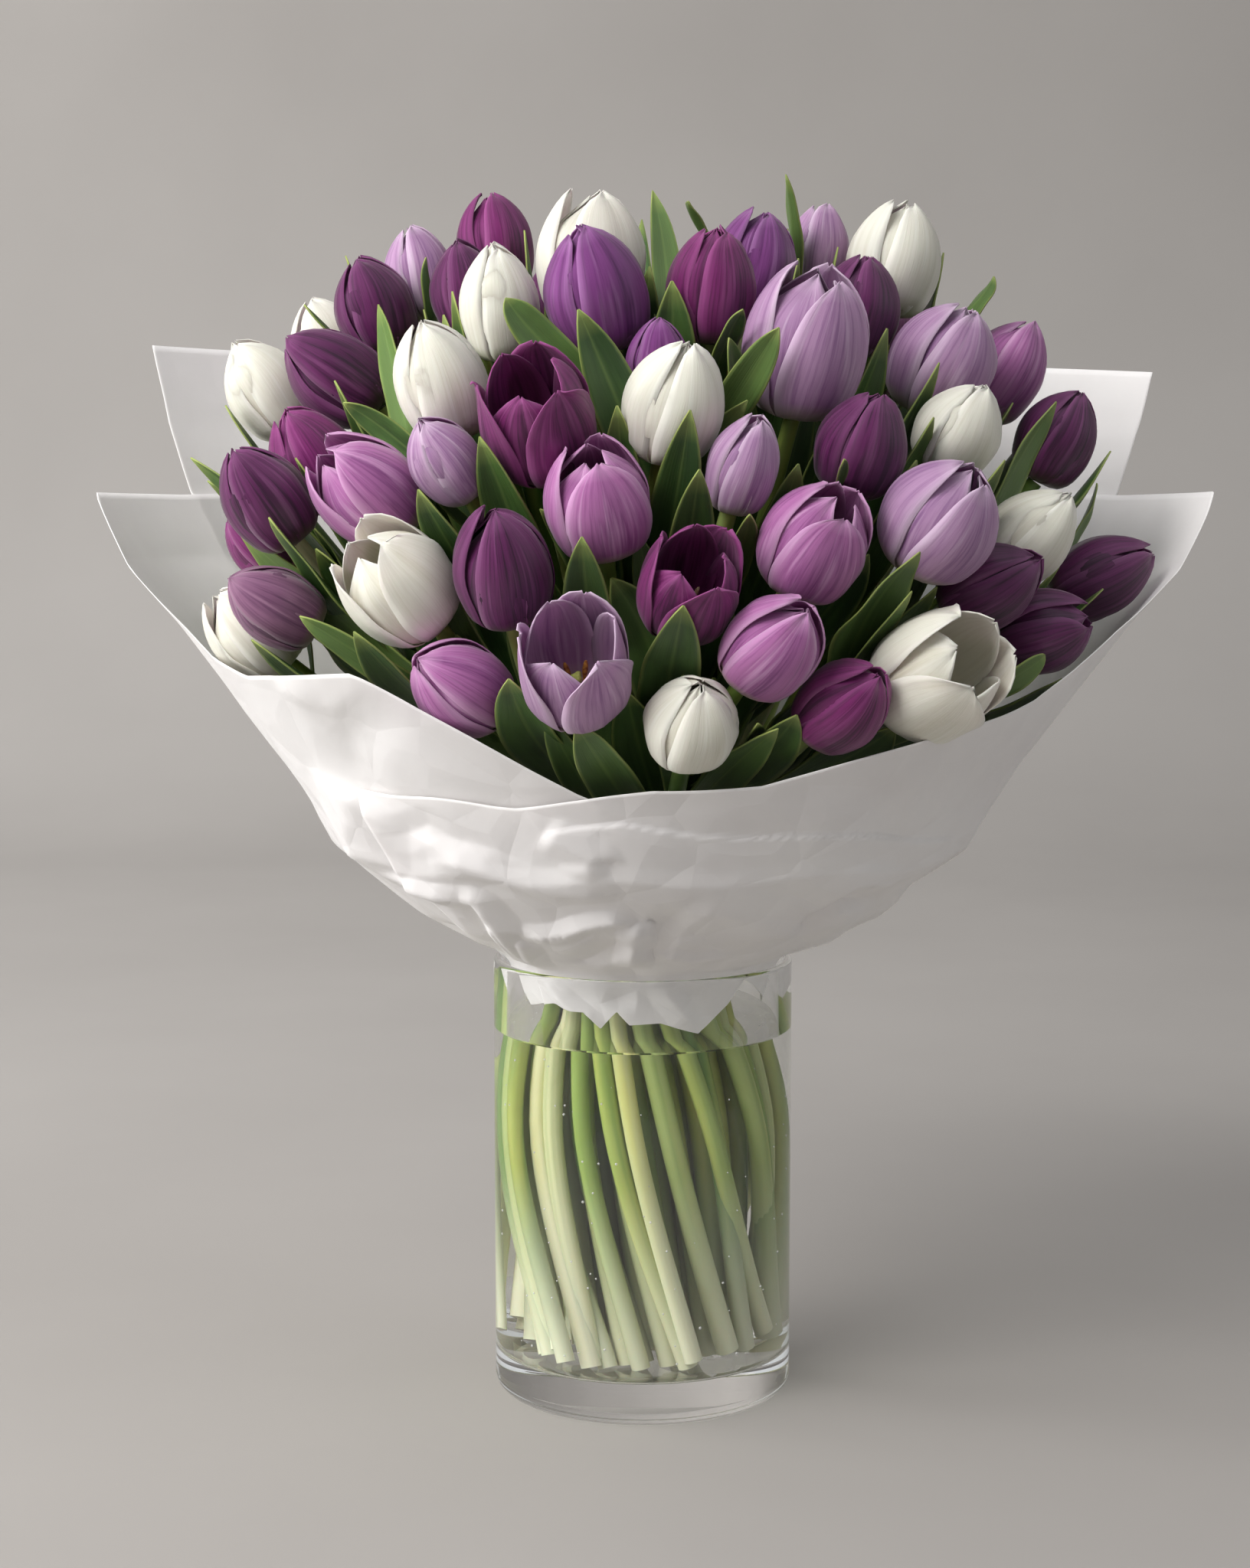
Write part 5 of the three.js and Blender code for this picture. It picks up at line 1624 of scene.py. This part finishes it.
@dataclass
class Wrap:
    """The florist's paper: one long sheet round the bunch, and a second behind it."""

    columns: int = 430
    rows: int = 108
    fine_from: float = -355.0
    fine_share: float = 0.58
    thickness: float = 0.35
    cuff: Table = ((707, 1087), (814, 1079), (916, 1089), (1020, 1093), (1248, 1091))
    cuff_step: float = 1.3
    tuck: float = 4.5
    start_tuck: float = 2.0
    start_tuck_turn: float = 12.0
    cuff_rise: float = 0.7
    tuck_z: float = 210.5
    tuck_reach: float = 7.0
    pleat_share: float = 0.55
    pleat_lift: float = 0.5
    crumple_from: float = 207.0
    crumple_to: float = 310.0
    facet_middle: float = 0.25
    crumple_back: float = 4.5
    crumple_front: float = 2.4
    crumple_above: float = 0.9
    crumple_below: float = 1.2
    back_low: float = 232.0
    lower_edge: Table = (
        (655, 1262), (664, 1280), (681, 1300), (724, 1312), (768, 1322), (785, 1345), (806, 1322),
        (822, 1340), (862, 1338), (911, 1352), (948, 1314), (968, 1280),
    )

    creases: tuple[Crease, ...] = (
        Crease(((457, 1023), (470, 1080), (484, 1140)), 6.0, 30),
        Crease(((494, 879), (450, 960), (457, 1023)), -3.5, 22),
        Crease(((355, 886), (430, 930), (494, 879)), 3.0, 16),
        Crease(((707, 1087), (733, 1102), (772, 1126), (768, 1160)), 3.5, 14, 0.6),
        Crease(((500, 1085), (560, 1075), (640, 1120)), -2.2, 10),
        Crease(((560, 1120), (640, 1140), (746, 1165), (803, 1178)), 4.2, 15, 0.5),
        Crease(((484, 1140), (560, 1160), (629, 1178), (664, 1217), (710, 1273)), 7.5, 13, 0.5),
        Crease(((599, 1152), (640, 1225), (662, 1262)), -5.0, 11),
        Crease(((684, 1225), (760, 1212), (833, 1205)), 7.0, 12, 0.35),
        Crease(((684, 1225), (700, 1250), (712, 1273)), 6.0, 8),
        Crease(((730, 1255), (790, 1240), (815, 1228)), -6.0, 12),
        Crease(((833, 1205), (830, 1240), (824, 1262)), 8.5, 9),
        Crease(((840, 1212), (850, 1240), (866, 1204), (894, 1182)), -5.5, 10),
        Crease(((848, 1238), (900, 1252), (960, 1245)), 5.0, 11, 0.5),
        Crease(((894, 1182), (960, 1195), (1033, 1225)), 4.5, 22, 0.6),
        Crease(((1033, 1225), (1065, 1195), (1102, 1173), (1154, 1165)), -7.5, 11),
        Crease(((1040, 1205), (1102, 1160), (1170, 1150)), 5.0, 16, 0.3),
        Crease(((1045, 1235), (1109, 1215), (1187, 1151)), 5.5, 12),
        Crease(((712, 1273), (745, 1310), (785, 1345)), 4.5, 7),
        Crease(((820, 1262), (806, 1322)), -3.5, 8),
        Crease(((850, 1262), (870, 1300), (911, 1352)), 3.5, 8),
        Crease(((920, 1262), (905, 1300)), -3.0, 8),
        Crease(((1352, 900), (1240, 1000), (1150, 1060)), 3.0, 40),
    )

    def facets(self, degrees: Array, z: Array, seed: int) -> Array:
        """Flat facets between sharp creases, as in crumpled paper.

        Args:
            degrees: Places round the bunch.
            z: Heights.
            seed: The sheet's own seed.

        Returns:
            How far each point stands out, from about -1 to 1.
        """
        total = np.zeros(np.broadcast(degrees, z).shape)
        for octave, (cell, weight) in enumerate(((36.0, 0.65), (17.0, 0.35))):
            rng = np.random.default_rng(seed + octave)
            heights = rng.uniform(-1, 1, (64, 64))
            x = degrees * 1.9 / cell + 0.5 * np.sin(z / 23 + octave)
            y = (z - 180) / cell + 0.5 * np.sin(np.radians(degrees * 3) + octave)
            i, j = np.floor(x).astype(int), np.floor(y).astype(int)
            fx, fy = x - i, y - j
            a, b = heights[i % 64, j % 64], heights[(i + 1) % 64, j % 64]
            c, d = heights[i % 64, (j + 1) % 64], heights[(i + 1) % 64, (j + 1) % 64]
            low = a + fx * (b - a) + fy * (c - a)
            high = d + (1 - fx) * (c - d) + (1 - fy) * (b - d)
            total += weight * np.where(fx + fy > 1, high, low)
        return total

    def surface(self, degrees: Array, z: Array, seed: int) -> Array:
        """Points of a sheet, with its pleats, facets and creases."""
        angle = np.radians(degrees)
        shape = PAPER
        in_pleats = clamp((z - shape.pleat_from) / 12) * clamp((shape.pleat_to - z) / 60)
        pleat = shape.pleat_height * in_pleats * np.sin(angle * shape.pleat_count + 1.3 * np.sin(3 * angle))
        plain = shape.radius(degrees, z)
        place = polar(plain, angle, z)
        lifts = [crease.lift(place) for crease in self.creases]
        fold = np.maximum.reduce([*lifts, 0 * plain]) + np.minimum.reduce([*lifts, 0 * plain])
        front = clamp(-np.sin(angle) * 2.5)
        crumple = blend_values(self.crumple_back, self.crumple_front, front)
        crumple = crumple * clamp((z - self.crumple_from) / 12) * clamp((self.crumple_to - z) / 70)
        crumple = crumple + self.crumple_above * clamp((z - 215) / 20)
        crumple = crumple + self.crumple_below * clamp((203 - z) / 6)
        free = clamp(np.abs(z - shape.mouth - 6) / 10)
        line = shape.trace(self.cuff)
        around = bearing(line)
        here = (degrees + 180) % 360 - 180
        above = clamp((z - np.interp(here, around, line[:, 2])) / self.cuff_rise)
        at_cuff = clamp((here - around[0]) / 6) * clamp((around[-1] - here) / 4)
        crumpled = crumple * (self.facets(degrees, z, seed) - self.facet_middle)
        radius = plain + pleat * self.pleat_share + free * (fold + crumpled)
        radius = radius - self.cuff_step * above * at_cuff
        at_tuck = clamp(1 - np.abs(z - self.tuck_z) / self.tuck_reach)
        radius = radius - self.tuck * clamp(-np.sin(angle) * 1.6) * at_tuck
        return polar(radius, angle, z + self.pleat_lift * pleat)

    def ragged(self, degrees: Array) -> Array:
        """The lower edge of the main sheet inside the vase: as it is seen in front, uneven behind."""
        rng = np.random.default_rng(seed_of("ragged"))
        knots = np.arange(-20, 221, 15.0)
        line = PAPER.trace(self.lower_edge)
        around = bearing(line)
        at = np.concatenate([around, knots[knots > around[-1] + 8]])
        height = np.concatenate([line[:, 2], rng.uniform(178, 199, len(at) - len(line))])
        order = np.argsort(at)
        return np.interp(degrees % 360, at[order], height[order], period=360)

    def sheet(self, name: str, start: float, end: float, edge: Table, gap: float,
              low: Curve, material: Material) -> Object:
        """One sheet of paper.

        Args:
            name: The piece's name.
            start: Where it begins, in degrees round from the right.
            end: Where it ends.
            edge: Heights of its upper edge.
            gap: How far it lies outside the main sheet, which itself has none and whose first
                corner, under the overlap, is tucked a little inwards.
            low: Heights of its lower edge.
            material: Its finish.

        Returns:
            The sheet.
        """
        shape = PAPER
        dense, coarse = 1.0, 1.0
        if end < self.fine_from:
            dense = max(start - self.fine_from, 0.0) / (start - end)
            coarse = min(dense, 1 - self.fine_share)
        at = np.linspace(0, 1, self.columns)
        degrees = blend_values(start, end, np.interp(at, (0, coarse, 1), (0, dense, 1)))[None, :]
        share = (np.linspace(0, 1, self.rows) ** 1.3)[:, None]
        bottom, top = low(degrees), look_up(edge, degrees)
        z = bottom + (top - bottom) * share
        points = self.surface(degrees, z, seed_of("paper"))
        out = unit(np.cross(np.gradient(points, axis=0), np.gradient(points, axis=1)))
        out *= np.sign((out[..., :2] * points[..., :2]).sum(-1, keepdims=True))
        turn = (degrees - shape.start) / (shape.end - shape.start)
        above = clamp((z - shape.mouth) / 10)
        outermost = shape.layer_gap * blend_values(shape.in_mouth, 1.0, above)
        layer = blend_values(-shape.layer_gap, outermost, turn)
        tucked = clamp(1 - (shape.start - degrees) / self.start_tuck_turn)
        inwards = 0.0 if gap else self.start_tuck * tucked
        points = points + out * (layer + gap - inwards)[..., None]
        draft = Draft()
        uv = np.stack([np.broadcast_to(np.radians(degrees), z.shape), z / 200], axis=-1)
        draft.grid(points[:, ::-1], uv[:, ::-1])
        piece = draft.make(name, material)
        thicken(piece, self.thickness, 0.0)
        return piece

    def make(self, material: Material) -> list[tuple[Object, str]]:
        """Both sheets, each with the node that it replaces."""
        main_sheet = self.sheet("wrap", PAPER.start, PAPER.end, PAPER.main_edge, 0.0,
                                self.ragged, material)
        back = self.sheet("back_paper", PAPER.back_start, PAPER.back_end, PAPER.back_edge,
                          PAPER.back_gap, lambda degrees: np.full_like(degrees, self.back_low), material)
        return [(main_sheet, "paper_wrap"), (back, "paper_back_sheet")]


# ---- vase and water


@dataclass
class Vase:
    """A clear glass cylinder with a thick floor, a rounded foot and a fire-polished rim."""

    radius: float = 70.0
    wall: float = 4.0
    height: float = 207.0
    floor: float = 20.0
    corner: float = 8.0
    inner_corner: float = 4.0
    level: float = 172.0
    meniscus: float = 2.0
    wetting: float = 0.15
    sides: int = 128

    @staticmethod
    def arc(x: float, z: float, radius: float, start: float, end: float,
            count: int) -> list[tuple[float, float]]:
        """Points of a round corner; angles in degrees."""
        angles = np.radians(np.linspace(start, end, count + 1))
        return [(x + radius * math.cos(a), z + radius * math.sin(a)) for a in angles]

    def turned(self, name: str, profile: Table, material: Material) -> Object:
        """A closed body turned from a profile that starts and ends on the axis."""
        inner = profile[1:-1]
        angle = np.linspace(0, 2 * math.pi, self.sides, endpoint=False)
        r, z = (np.array(line)[:, None] for line in zip(*inner))
        draft = Draft()
        draft.grid(polar(r, angle, z), closed=True)
        for (x, height), first in ((profile[0], 0), (profile[-1], (len(inner) - 1) * self.sides)):
            draft.fan((x, 0.0, height), first, self.sides, below=first == 0)
        return draft.make(name, material)

    def glass(self, material: Material) -> Object:
        """The vase itself."""
        inner = self.radius - self.wall
        profile = [
            (0.0, 1.2), (self.radius * 0.55, 1.2), (self.radius - self.corner - 4, 0.9),
            *self.arc(self.radius - self.corner, self.corner, self.corner, -90, 0, 10),
            *self.arc(self.radius - self.wall / 2, self.height - self.wall / 2, self.wall / 2, 0, 180, 12),
            *self.arc(inner - self.inner_corner, self.floor + self.inner_corner,
                      self.inner_corner, 0, -90, 8),
            (self.radius * 0.4, self.floor), (0.0, self.floor),
        ]
        return self.turned("vase_glass", profile, material)

    def water(self, material: Material) -> Object:
        """The water, which wets the glass and climbs it a little at the rim."""
        radius = self.radius - self.wall + self.wetting
        inset = self.inner_corner
        bottom = self.floor - self.wetting
        profile = [
            (0.0, bottom), (self.radius * 0.4, bottom),
            *self.arc(radius - inset, bottom + inset, inset, -90, 0, 8),
            (radius, self.level + self.meniscus * 0.9), (radius - 0.3, self.level + self.meniscus),
            (radius - 1.0, self.level + 0.9), (radius - 2.2, self.level + 0.25),
            (radius - 4.0, self.level), (0.0, self.level),
        ]
        return self.turned("vase_water", profile, material)


@dataclass
class Bubbles:
    """Small bubbles of air that cling to the glass under the water, scattered by Geometry Nodes."""

    seed: int = 7
    count: int = 150
    radius: float = 0.55
    inset: float = 0.9
    above_floor: float = 8.0
    below_level: float = 2.0

    def make(self, vase: Vase, material: Material) -> Object:
        """The bubbles as one piece."""
        angle = np.linspace(0, 2 * math.pi, 48, endpoint=False)
        low, high = vase.floor + self.above_floor, vase.level - self.below_level
        z = np.linspace(low, high, 12)[:, None]
        reach = vase.radius - vase.wall - self.inset
        draft = Draft()
        draft.grid(polar(reach, angle, z), closed=True)
        piece = draft.make("bubbles", material)
        kit = TreeKit("bubbles")
        given = kit.inputs({"Wall": None, "Density": 1000.0, "Radius": self.radius * MM})
        scattered = kit.add("DistributePointsOnFaces", values={
            "Mesh": (given, "Wall"), "Density": (given, "Density"), "Seed": self.seed})
        ball = kit.add("MeshIcoSphere", values={"Radius": (given, "Radius"), "Subdivisions": 2})
        size = kit.add("FunctionNodeRandomValue", {"data_type": "FLOAT"}, {2: 0.4, 3: 1.3, "Seed": self.seed})
        put = kit.add("InstanceOnPoints", values={
            "Points": (scattered, "Points"), "Instance": (ball, "Mesh"), "Scale": (size, 1)})
        tree = kit.finish((put, "Instances"), material)
        area = 2 * math.pi * reach * (high - low) * MM * MM
        grow(piece, tree, {"Density": self.count / area})
        return piece


# ---- studio


@dataclass
class Studio:
    """A plain pale sweep of floor and wall, and soft light from the upper left."""

    wall_y: float = 2.6
    bend: float = 0.9
    reach: float = 9.0
    bend_steps: int = 16
    dark_sky: Colour = (0.2, 0.205, 0.21, 1.0)
    light_sky: Colour = (0.66, 0.67, 0.69, 1.0)
    warm: tuple[float, float, float] = (1.0, 0.98, 0.965)

    def sweep(self) -> None:
        """The floor, which bends up into the wall."""
        line = [(-self.reach, 0.0), (self.wall_y - self.bend, 0.0)]
        for step in range(1, self.bend_steps + 1):
            angle = math.pi / 2 * step / self.bend_steps
            line.append((self.wall_y - self.bend + self.bend * math.sin(angle),
                         self.bend - self.bend * math.cos(angle)))
        line.append((self.wall_y, self.reach))
        mesh = bpy.data.meshes.new("sweep")
        points = [(x, y, z) for y, z in line for x in (-self.reach, self.reach)]
        faces = [(2 * i, 2 * i + 1, 2 * i + 3, 2 * i + 2) for i in range(len(line) - 1)]
        mesh.from_pydata(points, [], faces)
        mesh.shade_smooth()
        paint = Paint("backdrop", Roughness=0.9, Specular_IOR_Level=0.15)
        cloud = paint.noise(paint.place(), scale=2.2, detail=4.0)
        light, dark = linear(166, 162, 158), linear(160, 156, 152)
        paint.feed("Base Color", paint.mix(cloud.rise(0.3, 0.7), light, dark))
        mesh.materials.append(paint.material)
        sweep = place_object("sweep", mesh)

    def lamp(self, name: str, place: tuple[float, float, float], aim: tuple[float, float, float],
             size: float, power: float, colour: tuple[float, float, float] = (1.0, 1.0, 1.0)) -> None:
        """A square soft box that looks at a point and isn't seen in the glass."""
        data = bpy.data.lights.new(name, "AREA")
        data.size = size
        data.energy = power
        data.color = colour
        lamp = place_object(name, data)
        lamp.location = place
        lamp.rotation_euler = (Vector(aim) - Vector(place)).to_track_quat("-Z", "Y").to_euler()
        lamp.visible_glossy = False
        lamp.visible_transmission = False

    def light(self) -> None:
        """The lamps and the soft light all round."""
        world = bpy.data.worlds.new("studio")
        bpy.context.scene.world = world
        world.use_nodes = True
        tree = world.node_tree
        ramp = tree.nodes.new("ShaderNodeValToRGB")
        ramp.color_ramp.elements[0].color = self.dark_sky
        ramp.color_ramp.elements[1].color = self.light_sky
        depth = tree.nodes.new("ShaderNodeMapRange")
        depth.inputs["From Min"].default_value = -0.95
        depth.inputs["From Max"].default_value = -0.35
        parts = tree.nodes.new("ShaderNodeSeparateXYZ")
        tree.links.new(tree.nodes.new("ShaderNodeTexCoord").outputs["Generated"], parts.inputs[0])
        tree.links.new(parts.outputs["Y"], depth.inputs["Value"])
        tree.links.new(depth.outputs["Result"], ramp.inputs["Fac"])
        tree.links.new(ramp.outputs["Color"], tree.nodes["Background"].inputs["Color"])
        self.lamp("key", (-1.65, -1.55, 2.1), (0.0, 0.0, 0.3), 1.7, 78.0, self.warm)
        self.lamp("panel", (-2.4, -0.2, 0.6), (0.0, 0.0, 0.3), 1.7, 40.0)
        self.lamp("wash", (-1.6, 0.9, 1.9), (-0.5, 2.5, 0.5), 1.0, 24.0)
        bpy.context.scene.view_settings.view_transform = "Standard"


# ---- the whole


def main() -> None:
    """Builds the camera, the studio and every piece in order."""
    logging.basicConfig(level=logging.INFO, format="%(message)s")
    VIEW.make_camera()
    studio = Studio()
    studio.sweep()
    studio.light()

    bouquet = Bouquet()
    foliage = Foliage(bouquet)

    flowers = Flowers()
    paints = {kind: finish.paint(kind.value.replace("_", " ")) for kind, finish in PETALS.items()}
    amber = anther_finish("amber stamens", linear(112, 58, 34), linear(186, 132, 58))
    cream = anther_finish("cream stamens", linear(206, 190, 152), linear(158, 128, 92))
    pistil_paint = anther_finish("pistil", linear(176, 180, 104), linear(140, 150, 70))
    stamens = {finish: flowers.stamen_tree(finish) for finish in (amber, cream)}
    for name in dict.fromkeys(bloom.name for bloom in bouquet.blooms):
        members = [bloom for bloom in bouquet.blooms if bloom.name == name]
        slot, node = members[0].kind.value, f"tulip_{name}"
        settle(flowers.make(members, paints), [node])
        if members[0].open >= flowers.stamens_from:
            ring = stamens[cream if members[0].kind is WINE else amber]
            settle(flowers.inside(members[0], ring), [node])
            settle(flowers.pistil(members[0], pistil_paint), [node])

    greens = "stems_and_leaves"
    settle(Stems(bouquet).make(StemFinish().paint()), [greens])
    settle(Leaves(foliage).make(LeafFinish().paint()), [greens])

    for sheet, node in Wrap().make(PaperFinish().paint()):
        settle(sheet, [node])

    vase = Vase()
    settle(vase.glass(GLASS.paint()), ["vase"])
    settle(vase.water(WATER.paint()), ["water"])
    air = Paint("air bubbles", Base_Color=(1.0, 1.0, 1.0, 1.0), Roughness=0.02, IOR=1.02,
                Transmission_Weight=0.6, Coat_Weight=0.5)
    settle(Bubbles().make(vase, air.material), ["water"])


if __name__ == "__main__":
    main()
